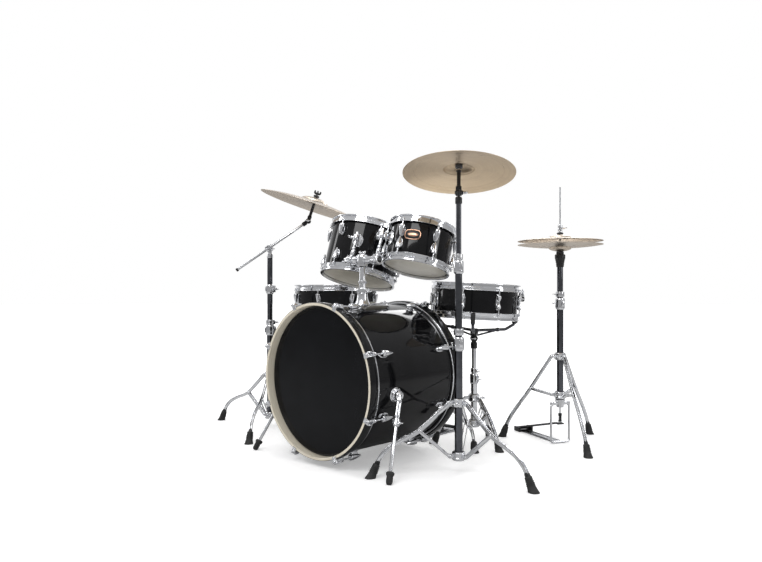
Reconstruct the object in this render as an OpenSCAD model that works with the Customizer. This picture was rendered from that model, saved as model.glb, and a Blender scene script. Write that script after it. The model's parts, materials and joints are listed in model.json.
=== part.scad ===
// Five-piece acoustic drum kit with cymbals, stands and pedals, set up to play.
// Millimetres, +Z up, floor at z = 0, front of the bass drum towards -Y.

/* [Bass drum] */
// Outside diameter of the bass drum shell
bass_d = 559; // [540:1:570]
// Depth of the bass drum shell
bass_depth = 457; // [440:1:460]
// Height of the bass drum's axis above the floor
bass_z = 315; // [312:1:330]
// Width of each wooden bass drum hoop
bass_hoop_w = 40; // [34:1:42]

/* [Toms and snare] */
// Shell diameter and depth of the high tom
high_tom = [254, 165]; // [150:1:260]
// Shell diameter and depth of the middle tom
mid_tom = [305, 222]; // [200:1:310]
// Shell diameter and depth of the floor tom
floor_tom = [406, 390]; // [360:1:420]
// Shell diameter and depth of the snare drum
snare = [356, 127]; // [100:1:360]
// Lean of the rack toms towards the player, in degrees
tom_lean = 17; // [12:1:20]
// Lean of the snare drum, in degrees
snare_lean = 3; // [0:1:4]

/* [Cymbals] */
// Diameter of the crash cymbal
crash_d = 406; // [380:1:410]
// Diameter of the ride cymbal
ride_d = 508; // [480:1:520]
// Diameter of both hi-hat cymbals
hihat_d = 356; // [330:1:360]
// Thickness of every cymbal
cymbal_t = 1.4; // [1:0.1:2]
// Lean of the crash cymbal, in degrees
crash_lean = 12.7; // [5:0.1:16]
// Lean of the ride cymbal, in degrees
ride_lean = 18.2; // [8:0.1:20]

/* [Stands] */
// Height of the crash cymbal's edge plane
crash_z = 1071; // [1060:1:1090]
// Height of the ride boom's clamp
boom_z = 852; // [840:1:860]
// Angle of the ride boom above level, in degrees
boom_rise = 34.4; // [25:0.1:38]
// Height of the hi-hat cymbals' meeting line
hihat_z = 848; // [840:1:870]
// Height of the snare basket's seat
basket_z = 533; // [530:1:540]

/* [Layout] */
// Crash stand column
crash_at = [450, 30]; // [-800:1:800]
// Ride stand column
ride_at = [-690, 68]; // [-800:1:800]
// Hi-hat stand column
hihat_at = [474, 717]; // [-800:1:800]
// Snare drum centre
snare_at = [212, 456]; // [-800:1:800]
// Floor tom centre
floor_tom_at = [-647, 459]; // [-800:1:800]
// High tom centre
high_tom_at = [150, 170, 822.5]; // [-800:1:900]
// Middle tom centre
mid_tom_at = [-175, 175, 811]; // [-800:1:900]
// Middle of the whole kit on the floor, moved to the origin
kit_mid = [-129, 364]; // [-800:1:800]

/* [Hidden] */
$fn = 48;

chrome = "silver";
black = "#18181a";
dark_steel = "#3a3c40";
bronze = "#c8b083";
maple = "#e0d2b0";
film_white = "#ece6d6";

slip = 0.1;          // gap of a sliding or turning fit
eps = 1;             // cutters run past faces by this much

shell_wall = 6;
film_t = 0.8;
head_drop = 12;      // flesh hoop hangs this far below the bearing edge
flesh_w = 5;

bass_wall = 7;
bass_hoop_r = 293;
bass_rod_r = 302;
bass_end = bass_depth / 2;
bass_hoop_start = bass_end - 9;
bass_hoop_end = bass_hoop_start + bass_hoop_w;

tube_r = 14.3;       // lowest tube of a cymbal stand
mid_tube_r = 12.6;
top_tube_r = 9.6;
stud_r = 3.9;        // threaded stud that carries a cymbal
hub_r = 36;          // tripod leg and brace pivots, from the column's axis
strip_t = 2;
strip_w = 14;
pin_r = 3;

// Leg outlines, as [distance from the column, height] along the middle of the strip
crash_collar_z = 252;
crash_leg = [[36, 252], [147, 157], [215, 124], [255, 102], [284, 73], [302, 42]];
ride_leg = [[36, 252], [147, 157], [228, 124], [272, 102], [304, 73], [322, 42]];
hihat_leg = [[36, 371], [130, 225], [180, 155], [212, 108], [232, 73], [245, 42]];
snare_leg = [[36, 196], [90, 142], [119, 107], [138, 78], [151, 52], [158, 34]];

crash_leg_turn = [235.3, 355.3, 115.3];
ride_leg_turn = [187.3, 307.3, 67.3];
hihat_leg_turn = [192.8, 322.8, 88.5];
snare_leg_turn = [342, 102, 222];

view_turn = 43.23;   // direction across the kit that the ride boom runs along
boom_back = 177;     // boom behind its clamp
boom_front = 200;    // boom ahead of its clamp

barrel = [0, -4.8, 774];
barrel_half = 94;
barrel_r = 15;
post_r = 12.5;
arm_r = 5.6;
rod_off = 42;        // tom arm rod stands this far off the shell
rod_out = 13;        // tension rods stand this far off the shell
mid_rod_turn = -55.3;
high_rod_turn = -114.1;

function polar(r, a, z = 0) = [r * cos(a), r * sin(a), z];
function unit(v) = v / norm(v);
function along(p, v, d) = p + unit(v) * d;

module place(p) {
    translate([p.x - kit_mid.x, p.y - kit_mid.y, len(p) > 2 ? p.z : 0]) children();
}
module around(count, start = 0) {
    for (i = [0 : count - 1]) rotate(start + i * 360 / count) children();
}
module aim(a, b) {
    v = b - a;
    translate(a) rotate([0, acos(v.z / norm(v)), atan2(v.y, v.x)]) children();
}
module bar(a, b, r) {
    aim(a, b) cylinder(h = norm(b - a), r = r);
}
module pipe(r_out, r_in, h) {
    difference() {
        cylinder(h = h, r = r_out);
        translate([0, 0, -eps]) cylinder(h = h + 2 * eps, r = r_in);
    }
}
// Sideways step from each point of a path to an edge of unit half width
function normal(a, b) = let (d = unit(b - a)) [-d.y, d.x];
function corner(points, i) = let (
    last = len(points) - 1,
    before = normal(points[max(i - 1, 0)], points[max(i, 1)]),
    after = normal(points[min(i, last - 1)], points[min(i + 1, last)]),
    m = before + after) 2 * m / (m * m);
// Flat strip standing on edge in the XZ plane, along a list of [x, z] points
module strip(points, w, t) {
    last = len(points) - 1;
    rotate([90, 0, 0]) translate([0, 0, -t / 2]) linear_extrude(t) {
        for (i = [0, last]) translate(points[i]) circle(d = w);
        polygon(concat([for (i = [0 : last]) points[i] + corner(points, i) * w / 2],
            [for (i = [last : -1 : 0]) points[i] - corner(points, i) * w / 2]));
    }
}
module cross_pin(p, r, half) {
    translate([p.x, -half, p.y]) rotate([-90, 0, 0]) cylinder(h = 2 * half, r = r);
}
// Wing bolt with its screw along +X, from x = 0, and its wings in the XY plane
module wing_bolt(length, span = 26) {
    rotate([0, 90, 0]) cylinder(h = length + 2, r = 3.5);
    translate([length, 0, 0]) rotate([0, 90, 0]) cylinder(h = 10, r = 6);
    for (s = [-1, 1]) translate([length, 0, -2.5]) linear_extrude(5) {
        polygon([[1, 0], [9, 0], [16, s * span / 2], [7, s * span / 2]]);
        translate([11, s * span / 2]) circle(r = 5.5);
    }
}

// ---------- drums, built about the middle of the shell with the axis up ----------
module head(d, depth) {
    r = d / 2;
    edge = depth / 2;
    rotate_extrude() polygon([[0, edge], [r + 0.2, edge], [r + 0.2, edge - head_drop],
        [r + 1.2 + flesh_w, edge - head_drop], [r + 1.2 + flesh_w, edge - 7],
        [r + 1.2, edge - 7], [r + 1.2, edge + film_t], [0, edge + film_t]]);
}
module heads(d, depth) {
    head(d, depth);
    mirror([0, 0, 1]) head(d, depth);
}
module shell(d, depth, wall = shell_wall) {
    translate([0, 0, -depth / 2]) pipe(d / 2, d / 2 - wall, depth);
}
// Triple-flanged steel hoop with an ear for each rod
module steel_hoop(d, depth, count, start) {
    r = d / 2;
    edge = depth / 2;
    difference() {
        union() {
            rotate_extrude() translate([r, edge]) polygon([
                [1.6, -6.9], [7, -6.9], [7, -18.6], [12, -18.6], [12, -17], [8.6, -17],
                [8.6, -5.3], [3.2, -5.3], [3.2, 9], [8.6, 9], [8.6, 6.5], [10.2, 6.5],
                [10.2, 10.8], [1.6, 10.8]]);
            around(count, start) translate([r + rod_out, 0, edge - 19.2])
                cylinder(h = 2.6, r = 5.8);
        }
        around(count, start) translate([r + rod_out, 0, edge - 21])
            cylinder(h = 6, r = 3.1);
    }
}
module steel_hoops(d, depth, count, start) {
    steel_hoop(d, depth, count, start);
    mirror([0, 0, 1]) steel_hoop(d, depth, count, start);
}
// Tension rod with its square-drive head above the hoop's ear
module tension_rod(d, depth, tail) {
    edge = depth / 2;
    translate([d / 2 + rod_out, 0, edge - tail]) cylinder(h = tail - 15, r = 2.7);
    translate([d / 2 + rod_out, 0, edge - 16.5]) cylinder(h = 9, r = 3.7);
}
// Teardrop lug: round body at the rod end, tail tapering along the shell
module teardrop(length, fat) {
    rotate_extrude() polygon(concat([[0, 0]],
        [for (a = [0 : 15 : 90]) [fat * 0.62 + fat * 0.38 * sin(a), 4 - 4 * cos(a)]],
        [for (k = [1 : 6]) let (u = k / 6) [fat * (1 - 0.72 * u * u), 4 + (length - 8) * u]],
        [[0, length]]));
}
module lug(d, depth, start_drop, length, fat) {
    edge = depth / 2;
    difference() {
        translate([d / 2 + rod_out - 1, 0, edge - start_drop]) mirror([0, 0, 1])
            teardrop(length, fat);
        translate([d / 2 + rod_out, 0, edge - start_drop - 22]) cylinder(h = 30, r = 2.85);
        cylinder(h = depth, r = d / 2 + 0.05, center = true);
    }
    tension_rod(d, depth, start_drop + 20);
}
module lugs(d, depth, count, start, start_drop = 33, length = 50, fat = 11.5) {
    for (m = [0, 1]) mirror([0, 0, m]) around(count, start)
        lug(d, depth, start_drop, length, fat);
}
// Round plate and split block that hold a drum on a rod beside its shell
module rod_bracket(d, turn, z, bore_r, bore_off, plate_r) {
    r = d / 2;
    rotate(turn) difference() {
        union() {
            translate([r - 4, 0, z]) rotate([0, 90, 0]) cylinder(h = 12, r = plate_r);
            translate([r, -10, z - 14]) cube([bore_off + 9, 20, 28]);
            translate([r + bore_off - 2, -9, z]) rotate([0, 0, -90]) wing_bolt(14);
        }
        cylinder(h = 3 * r, r = r + 0.05, center = true);
        translate([r + bore_off, 0, z - 50]) cylinder(h = 100, r = bore_r + slip);
    }
}

// ---------- bass drum ----------
module bass_frame() {
    place([0, 0, bass_z]) rotate([90, 0, 0]) children();
}
module bass_shell() color(black) difference() {
    bass_frame() shell(bass_d, bass_depth, bass_wall);
    place([barrel.x, barrel.y, bass_z]) cylinder(h = bass_d, r = post_r + 0.7);
}
module bass_hoops() color(black) bass_frame() for (m = [0, 1]) mirror([0, 0, m])
    translate([0, 0, bass_hoop_start]) pipe(bass_hoop_r, bass_d / 2 + 2, bass_hoop_w);
module bass_head() {
    r = bass_d / 2;
    rotate_extrude() polygon([[0, bass_end], [r + 0.2, bass_end], [r + 0.2, bass_end - 18],
        [r + 10, bass_end - 18], [r + 10, bass_hoop_start - 0.1],
        [r + 1.4, bass_hoop_start - 0.1], [r + 1.4, bass_end + film_t],
        [0, bass_end + film_t]]);
}
module bass_heads() color(dark_steel) bass_frame() for (m = [0, 1]) mirror([0, 0, m])
    bass_head();
module bass_lug() {
    foot_z = bass_end - 92;
    difference() {
        union() {
            translate([bass_rod_r - 2, 0, foot_z + 50]) mirror([0, 0, 1]) teardrop(58, 12);
            translate([bass_d / 2 - 3, -7, foot_z + 8]) cube([20, 14, 34]);
        }
        cylinder(h = bass_depth, r = bass_d / 2 + 0.05, center = true);
        translate([bass_rod_r, 0, foot_z + 26]) cylinder(h = 40, r = 3.15);
    }
}
module bass_lugs() color(chrome) bass_frame() for (m = [0, 1]) mirror([0, 0, m])
    around(8, 22.5) bass_lug();
// Claw hooked over the hoop's front edge, with its T-rod back to the lug
module bass_claw() {
    difference() {
        union() {
            translate([bass_hoop_r - 9, -11, bass_hoop_end + 0.1]) cube([24, 22, 4]);
            translate([bass_hoop_r + 0.1, -11, bass_hoop_start + 6])
                cube([4, 22, bass_hoop_w - 5]);
            translate([bass_rod_r, 0, bass_hoop_start + 4]) cylinder(h = 16, r = 7.5);
        }
        translate([bass_rod_r, 0, 0]) cylinder(h = 400, r = 3.15);
        translate([0, 0, bass_hoop_start]) cylinder(h = bass_hoop_w + 0.1,
            r = bass_hoop_r + 0.05);
    }
    translate([bass_rod_r, 0, bass_end - 64]) cylinder(h = bass_hoop_w + 43, r = 3);
    translate([bass_rod_r, 0, bass_end - 21 + bass_hoop_w]) cylinder(h = 7, r = 4.6);
}
module bass_claws() color(chrome) bass_frame() for (m = [0, 1]) mirror([0, 0, m])
    around(8, 22.5) bass_claw();

spur_hub = [300, -120, 276];
spur_tip = [373, -255, 0];
spur_axis = unit([spur_hub.x, 0, spur_hub.z - bass_z]);
spur_bend = along(spur_hub, spur_tip - spur_hub, 96);

module bass_brackets() color(chrome) {
    place([barrel.x, barrel.y]) difference() {
        rotate_extrude() polygon([[0, 560], [40, 560], [40, 600], [34, 606], [24, 616],
            [20, 630], [19, 662], [0, 662]]);
        cylinder(h = 700, r = post_r + slip);
        translate([0, 0, bass_z]) rotate([90, 0, 0])
            cylinder(h = 200, r = bass_d / 2 + 0.05, center = true);
    }
    place([barrel.x + 18, barrel.y, 648]) wing_bolt(12);
    for (s = [0, 1]) place([0, 0, 0]) mirror([s, 0, 0]) difference() {
        aim([0, spur_hub.y, bass_z], [spur_hub.x, spur_hub.y, spur_hub.z])
            cylinder(h = 292, r = 23);
        translate([0, 0, bass_z]) rotate([90, 0, 0])
            cylinder(h = bass_depth, r = bass_d / 2 + 0.05, center = true);
    }
}
module spur() {
    color(chrome) {
        aim([0, spur_hub.y, bass_z], spur_hub) translate([0, 0, 292.3])
            cylinder(h = 22, r = 17);
        for (s = [-6.5, 6.5]) bar(spur_hub + [3, s, 0], spur_bend + [0, s, 0], 4.5);
        bar(along(spur_bend, spur_hub - spur_tip, 12),
            along(spur_bend, spur_tip - spur_hub, 16), 12.5);
        translate(spur_bend) rotate(-20) translate([10, 0, 0]) wing_bolt(8, 20);
        bar(spur_bend, along(spur_tip, spur_hub - spur_tip, 36), 6.5);
    }
    color(black) difference() {
        union() {
            bar(along(spur_tip, spur_hub - spur_tip, 36.1),
                along(spur_tip, spur_tip - spur_hub, 12), 11);
            bar(along(spur_tip, spur_hub - spur_tip, 44),
                along(spur_tip, spur_hub - spur_tip, 34), 14.5);
        }
        bar(along(spur_tip, spur_hub - spur_tip, 35.9), spur_hub, 6.6);
        translate([200, -400, -60]) cube([300, 300, 60]);
    }
}
module spur_right() place([0, 0, 0]) spur();
module spur_left() place([0, 0, 0]) mirror([1, 0, 0]) spur();

// ---------- tom holder and rack toms ----------
module tom_post() color(chrome) place([0, 0, 0]) {
    difference() {
        union() {
            translate([barrel.x, barrel.y, 470]) cylinder(h = barrel.z - 470, r = post_r);
            translate([barrel.x, barrel.y, barrel.z - 30]) cylinder(h = 52, r = 20);
            bar(barrel - [barrel_half, 0, 0], barrel + [barrel_half, 0, 0], barrel_r);
        }
        translate([barrel.x, barrel.y, 470 - eps]) cylinder(h = 250, r = post_r - 2);
    }
    for (s = [-1, 1]) translate(barrel + [s * 8, 0, 21]) rotate([0, -90, 0]) wing_bolt(6, 18);
}
// Point on a tom's rod, in its own leaned frame
function rod_point(at, d, turn, z) = let (p = polar(d / 2 + rod_off, turn)) [
    at.x + p.x,
    at.y + p.y * cos(tom_lean) + z * sin(tom_lean),
    at.z - p.y * sin(tom_lean) + z * cos(tom_lean)];
function rod_foot(at, d, turn) = let (p = rod_point(at, d, turn, 0))
    [p.x, p.y - (p.z - barrel.z) * tan(tom_lean), barrel.z];
module tom_arm(at, d, turn, top) {
    foot = rod_foot(at, d, turn);
    color(chrome) place([0, 0, 0]) {
        difference() {
            union() {
                translate([foot.x - 13, barrel.y, barrel.z]) rotate([0, 90, 0])
                    cylinder(h = 26, r = 21.5);
                bar(foot, rod_point(at, d, turn, -44), 9);
            }
            translate([foot.x - 20, barrel.y, barrel.z]) rotate([0, 90, 0])
                cylinder(h = 40, r = barrel_r + slip);
        }
        difference() {
            bar(foot, rod_point(at, d, turn, top), arm_r);
            translate([foot.x - 20, barrel.y, barrel.z]) rotate([0, 90, 0])
                cylinder(h = 40, r = barrel_r + slip);
        }
        translate([foot.x, barrel.y - 19, barrel.z - 6]) rotate(-90) wing_bolt(8, 22);
    }
}
module tom_arm_left() tom_arm(mid_tom_at, mid_tom[0], mid_rod_turn, 34);
module tom_arm_right() tom_arm(high_tom_at, high_tom[0], high_rod_turn, 30);

module high_frame() place(high_tom_at) rotate([-tom_lean, 0, 0]) children();
module mid_frame() place(mid_tom_at) rotate([-tom_lean, 0, 0]) children();
module tom_badge(d, turn, z) color("#c98f6b") rotate(turn) difference() {
    translate([d / 2 - 2, 0, z]) rotate([0, 90, 0]) cylinder(h = 4, r = 20, $fn = 8);
    cylinder(h = 100, r = d / 2 + 0.05, center = true);
}
module high_tom_shell() color(black) high_frame() shell(high_tom[0], high_tom[1]);
module high_tom_heads() color(film_white) high_frame() heads(high_tom[0], high_tom[1]);
module high_tom_hoops() color(chrome) high_frame()
    steel_hoops(high_tom[0], high_tom[1], 6, high_rod_turn + 30);
module high_tom_lugs() high_frame() {
    color(chrome) lugs(high_tom[0], high_tom[1], 6, high_rod_turn + 30);
    color(chrome) rod_bracket(high_tom[0], high_rod_turn, 2, arm_r, rod_off, 25);
    tom_badge(high_tom[0], high_rod_turn + 50, 12);
}
module mid_tom_shell() color(black) mid_frame() shell(mid_tom[0], mid_tom[1]);
module mid_tom_heads() color(film_white) mid_frame() heads(mid_tom[0], mid_tom[1]);
module mid_tom_hoops() color(chrome) mid_frame()
    steel_hoops(mid_tom[0], mid_tom[1], 6, mid_rod_turn + 30);
module mid_tom_lugs() mid_frame() {
    color(chrome) lugs(mid_tom[0], mid_tom[1], 6, mid_rod_turn + 30);
    color(chrome) rod_bracket(mid_tom[0], mid_rod_turn, 10, arm_r, rod_off, 25);
    tom_badge(mid_tom[0], mid_rod_turn + 60, 12);
}

// ---------- floor tom ----------
floor_tom_z = 680 - 11 - floor_tom[1] / 2;
floor_leg_r = 5.5;
floor_leg_off = 24;
floor_leg_turn = 90;
floor_foot_bend = 34;
module floor_frame() place([floor_tom_at.x, floor_tom_at.y, floor_tom_z]) children();
module floor_tom_shell() color(black) floor_frame() shell(floor_tom[0], floor_tom[1]);
module floor_tom_heads() color(film_white) floor_frame() heads(floor_tom[0], floor_tom[1]);
module floor_tom_hoops() color(chrome) floor_frame()
    steel_hoops(floor_tom[0], floor_tom[1], 8, 22.5);
module floor_tom_lugs() floor_frame() {
    color(chrome) lugs(floor_tom[0], floor_tom[1], 8, 22.5);
    for (a = [0, 120, 240]) color(chrome)
        rod_bracket(floor_tom[0], floor_leg_turn + a, -70, floor_leg_r, floor_leg_off, 22);
    tom_badge(floor_tom[0], 300, 30);
}
module floor_tom_legs() place(floor_tom_at) around(3, floor_leg_turn) {
    x = floor_tom[0] / 2 + floor_leg_off;
    color(chrome) {
        bar([x, 0, 120], [x, 0, floor_tom_z + 20], floor_leg_r);
        translate([x, 0, 120]) sphere(r = floor_leg_r);
        bar([x, 0, 120], [x + floor_foot_bend, 0, 62], floor_leg_r);
        translate([x + floor_foot_bend, 0, 62]) sphere(r = floor_leg_r);
        bar([x + floor_foot_bend, 0, 62], [x + floor_foot_bend, 0, 24], floor_leg_r);
    }
    color(black) translate([x + floor_foot_bend, 0, 0]) difference() {
        union() {
            cylinder(h = 10, r = 16);
            translate([0, 0, 9]) cylinder(h = 37, r1 = 14, r2 = 10);
        }
        translate([0, 0, 23.9]) cylinder(h = 40, r = floor_leg_r + 0.05);
    }
}

// ---------- snare drum ----------
snare_z = basket_z + 11 + snare[1] / 2;
module snare_lean_frame() place([snare_at.x, snare_at.y, basket_z]) rotate(view_turn)
    rotate([0, snare_lean, 0]) children();
module snare_frame() snare_lean_frame() translate([0, 0, 11 + snare[1] / 2]) children();
module snare_shell() color(black) snare_frame() shell(snare[0], snare[1]);
module snare_heads() color(film_white) snare_frame() heads(snare[0], snare[1]);
module snare_hoops() color(chrome) snare_frame() steel_hoops(snare[0], snare[1], 8, 22.5);
module snare_lug() {
    x = snare[0] / 2 + rod_out;
    difference() {
        union() for (m = [0, 1]) mirror([0, 0, m]) {
            translate([x - 1, 0, 26]) mirror([0, 0, 1]) teardrop(26, 9.5);
        }
        for (m = [0, 1]) mirror([0, 0, m]) translate([x, 0, 8]) cylinder(h = 40, r = 2.85);
        cylinder(h = 200, r = snare[0] / 2 + 0.05, center = true);
    }
    for (m = [0, 1]) mirror([0, 0, m]) tension_rod(snare[0], snare[1], snare[1] / 2 - 10);
}
throw_turn = -8;
lever_pivot = [snare[0] / 2 + 20, 18];
module snare_lugs() snare_frame() {
    color(chrome) around(8, 22.5) snare_lug();
    color(black) rotate(throw_turn) difference() {
        union() {
            translate([snare[0] / 2 - 2, -14, -28]) cube([14, 28, 62]);
            for (s = [-1, 1]) translate([snare[0] / 2 + 10, s * 9.5 - 2.5, 8])
                cube([17, 5, 20]);
        }
        cylinder(h = 200, r = snare[0] / 2 + 0.05, center = true);
        cross_pin(lever_pivot, pin_r + slip, 30);
    }
    color(chrome) rotate(throw_turn + 180) difference() {
        translate([snare[0] / 2 - 2, -13, -26]) cube([13, 26, 40]);
        cylinder(h = 200, r = snare[0] / 2 + 0.05, center = true);
    }
}
module snare_throw_lever() color(chrome) snare_frame() rotate(throw_turn) {
    cross_pin(lever_pivot, pin_r, 13);
    cross_pin(lever_pivot, 6, 6.6);
    translate([lever_pivot.x - 3, -6, lever_pivot.y]) cube([6, 12, 44]);
}
// Coiled strands under the resonant head, drawn as fine bars between two end plates
module snare_wires() color(chrome) snare_frame() rotate(throw_turn)
    translate([0, 0, -snare[1] / 2 - 3.2]) {
        for (i = [-9 : 9]) translate([-120, i * 2.1 - 0.7, 0]) cube([240, 1.4, 1.4]);
        for (s = [-1, 1]) translate([s * 127 - 7.2, -21, 0]) cube([14.4, 42, 1.6]);
    }

// ---------- tripod pieces, built about the column ----------
module foot_rubber(points) {
    n = len(points);
    tip = points[n - 1];
    dir = unit(tip - points[n - 2]);
    start = tip - dir * 6;
    end = [tip.x + dir.x * 46, -12];
    difference() {
        aim([start.x, 0, start.y], [end.x, 0, end.y])
            cylinder(h = norm(end - start), r1 = 12, r2 = 19);
        translate([0, -50, -80]) cube([900, 100, 80]);
        for (s = [-1, 1]) translate([0, s * 4, 0])
            strip([for (i = [n - 2, n - 1]) points[i]], strip_w + 0.2, strip_t + 0.2);
    }
}
module leg(points, brace_at = 1) {
    color(chrome) {
        for (s = [-1, 1]) translate([0, s * 4, 0]) difference() {
            strip(points, strip_w, strip_t);
            cross_pin(points[0], pin_r + slip, 20);
        }
        cross_pin(points[brace_at], pin_r, 8.8);
        for (s = [-1, 1]) translate([points[brace_at].x, s * 8.3, points[brace_at].y])
            rotate([90, 0, 0]) cylinder(h = 1, r = 5, center = true);
    }
    color(black) foot_rubber(points);
}
module brace(from, to) {
    color(chrome) for (s = [-1, 1]) translate([0, s * 6.4, 0]) difference() {
        strip([from, to], 12, 1.8);
        cross_pin(from, pin_r + slip, 20);
    }
}
// Ring with one ear and pin for each leg
module hub_ring(z, bore, turns, ear_t, with_pins) {
    difference() {
        union() {
            translate([0, 0, z - 15]) cylinder(h = 30, r = 24);
            for (a = turns) rotate(a) translate([18, -ear_t / 2, z - 8])
                cube([hub_r - 18 + 6, ear_t, 16]);
        }
        translate([0, 0, z - 50]) cylinder(h = 100, r = bore);
    }
    if (with_pins) for (a = turns) rotate(a) cross_pin([hub_r, z], pin_r, 7);
}
module clamp_ring(z, bore, r_out, h, turn) {
    translate([0, 0, z - h / 2]) pipe(r_out, bore, h);
    rotate(turn) translate([r_out - 2, 0, z]) wing_bolt(12);
}
// Whole fixed tripod: collar, lower bracket, three legs and their braces
module tripod(points, turns, lower_z, bore) {
    color(chrome) hub_ring(points[0].y, bore, turns, 5, true);
    color(chrome) hub_ring(lower_z, bore, turns, 10, false);
    color(chrome) rotate(turns[0] + 60) translate([22, 0, points[0].y]) wing_bolt(12);
    for (a = turns) rotate(a) {
        leg(points);
        brace(points[1], [hub_r, lower_z]);
    }
}

// ---------- cymbals and tilters ----------
// Cymbal on its edge plane, bell up; bow and bell follow parabolas
function cymbal_line(r, bell_r, bow_h, bell_h) = concat(
    [for (k = [0 : 10]) let (x = r - (r - bell_r) * k / 10, u = (x - bell_r) / (r - bell_r))
        [x, bow_h * (1 - u * u * 0.86 - u * 0.14)]],
    [for (k = [1 : 6]) let (x = bell_r * (1 - k / 6) + 7 * k / 6, u = x / bell_r)
        [x, bow_h + bell_h * sqrt(1 - u * u * 0.97)]]);
module cymbal(d, bell_d, bow_h, bell_h) {
    top = cymbal_line(d / 2, bell_d / 2, bow_h, bell_h);
    n = len(top);
    rotate_extrude() polygon(concat(
        [for (p = top) p + [0, cymbal_t]],
        [for (i = [n - 1 : -1 : 0]) top[i]]));
}
module felt(z, h, r) translate([0, 0, z]) pipe(r, stud_r + 3.4, h);
module lean_frame(turn, lean) rotate(turn) rotate([0, lean, 0]) children();

// Upper half of a tilter, pivot at the origin: cheeks, stud, seat and wing nut
module tilter_head(reach, nut_z) {
    color(black) difference() {
        union() {
            for (s = [-1, 1]) translate([0, s * 8, 0]) rotate([90, 0, 0])
                cylinder(h = 5, r = 12, center = true);
            for (s = [-1, 1]) translate([-8, s * 8 - 2.5, 0]) cube([16, 5, 20]);
            translate([-9, -10.5, 13.5]) cube([18, 21, 9]);
            translate([0, 0, 20]) cylinder(h = reach - 34, r = 7);
            translate([0, 0, reach - 16]) cylinder(h = 3, r = 10);
        }
        cross_pin([0, 0], 4 + slip, 30);
    }
    color(chrome) translate([0, 0, 22]) cylinder(h = nut_z + 20 - 22, r = stud_r);
    color(black) translate([0, 0, nut_z]) {
        cylinder(h = 12, r = 7.5);
        for (s = [-1, 1]) translate([s * 13, 0, 2]) cylinder(h = 18, r = 4.5);
        translate([-13, -3, 2]) cube([26, 6, 8]);
    }
}
// Lower half of a tilter: knuckle between the cheeks, with the pin and wing bolt
module tilter_knuckle() {
    rotate([90, 0, 0]) cylinder(h = 10, r = 12, center = true);
    cross_pin([0, 0], 4, 12);
    rotate([90, 0, 0]) translate([0, 0, 11]) cylinder(h = 5, r = 8);
    translate([0, -16, 0]) rotate(-90) wing_bolt(2, 24);
}

// ---------- crash stand ----------
crash_lower_z = 2 * crash_leg[1].y - crash_leg[0].y;
crash_turn = 124.1;
crash_bow = 17;
crash_bell = 19;
crash_plane = 71;                       // pivot to the cymbal's edge plane
crash_pivot = [crash_at.x, crash_at.y, crash_z - crash_plane * cos(crash_lean)];

module crash_base() place(crash_at) color(chrome) {
    difference() {
        union() {
            translate([0, 0, crash_lower_z - 15]) cylinder(h = 405, r = tube_r);
            translate([0, 0, 436]) cylinder(h = 50, r = 20);
            hub_ring(crash_lower_z, tube_r - 0.5, crash_leg_turn, 10, false);
        }
        translate([0, 0, crash_lower_z - 5]) cylinder(h = 600, r = mid_tube_r + slip);
    }
    rotate(150) translate([18, 0, 462]) wing_bolt(12);
    rotate(-30) translate([18, 0, 462]) wing_bolt(4, 14);
}
module crash_collar() place(crash_at) color(chrome) {
    hub_ring(crash_collar_z, tube_r + slip, crash_leg_turn, 5, true);
    rotate(crash_leg_turn[0] + 60) translate([22, 0, crash_collar_z]) wing_bolt(12);
}
module crash_leg_at(i) place(crash_at) rotate(crash_leg_turn[i]) leg(crash_leg);
module crash_brace_at(i) place(crash_at) rotate(crash_leg_turn[i])
    brace(crash_leg[1], [hub_r, crash_lower_z]);
module crash_leg_1() crash_leg_at(0);
module crash_leg_2() crash_leg_at(1);
module crash_leg_3() crash_leg_at(2);
module crash_brace_1() crash_brace_at(0);
module crash_brace_2() crash_brace_at(1);
module crash_brace_3() crash_brace_at(2);
module crash_mid_tube() place(crash_at) color(chrome) {
    translate([0, 0, 200]) pipe(mid_tube_r, top_tube_r + slip, 530);
    clamp_ring(490 + 14, mid_tube_r - 0.5, 18, 24, 150);
    difference() {
        translate([0, 0, 712]) cylinder(h = 48, r = 18);
        translate([0, 0, 700]) cylinder(h = 70, r = top_tube_r + slip);
    }
    rotate(150) translate([16, 0, 738]) wing_bolt(12);
}
module crash_top_tube() place(crash_at) {
    color(dark_steel) translate([0, 0, 600])
        cylinder(h = crash_pivot.z - 24 - 600, r = top_tube_r);
    color(chrome) clamp_ring(760 + 12, top_tube_r - 0.5, 15, 22, 150);
    color(black) translate([0, 0, crash_pivot.z]) rotate(crash_turn) {
        tilter_knuckle();
        translate([0, 0, -40]) cylinder(h = 26, r = 12.5);
        translate([-8, -5, -20]) cube([16, 10, 14]);
    }
}
module crash_lean_frame() place(crash_pivot) lean_frame(crash_turn, crash_lean) children();
crash_seat = crash_plane + crash_bow + crash_bell * 0.98;
module crash_tilter() crash_lean_frame() tilter_head(crash_seat - 10, crash_seat + 16);
module crash_cymbal() crash_lean_frame() {
    color(bronze) translate([0, 0, crash_plane])
        cymbal(crash_d, 112, crash_bow, crash_bell);
    color(black) felt(crash_seat - 12, 10, 14);
    color(black) felt(crash_seat + 4, 9, 14);
}

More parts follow.
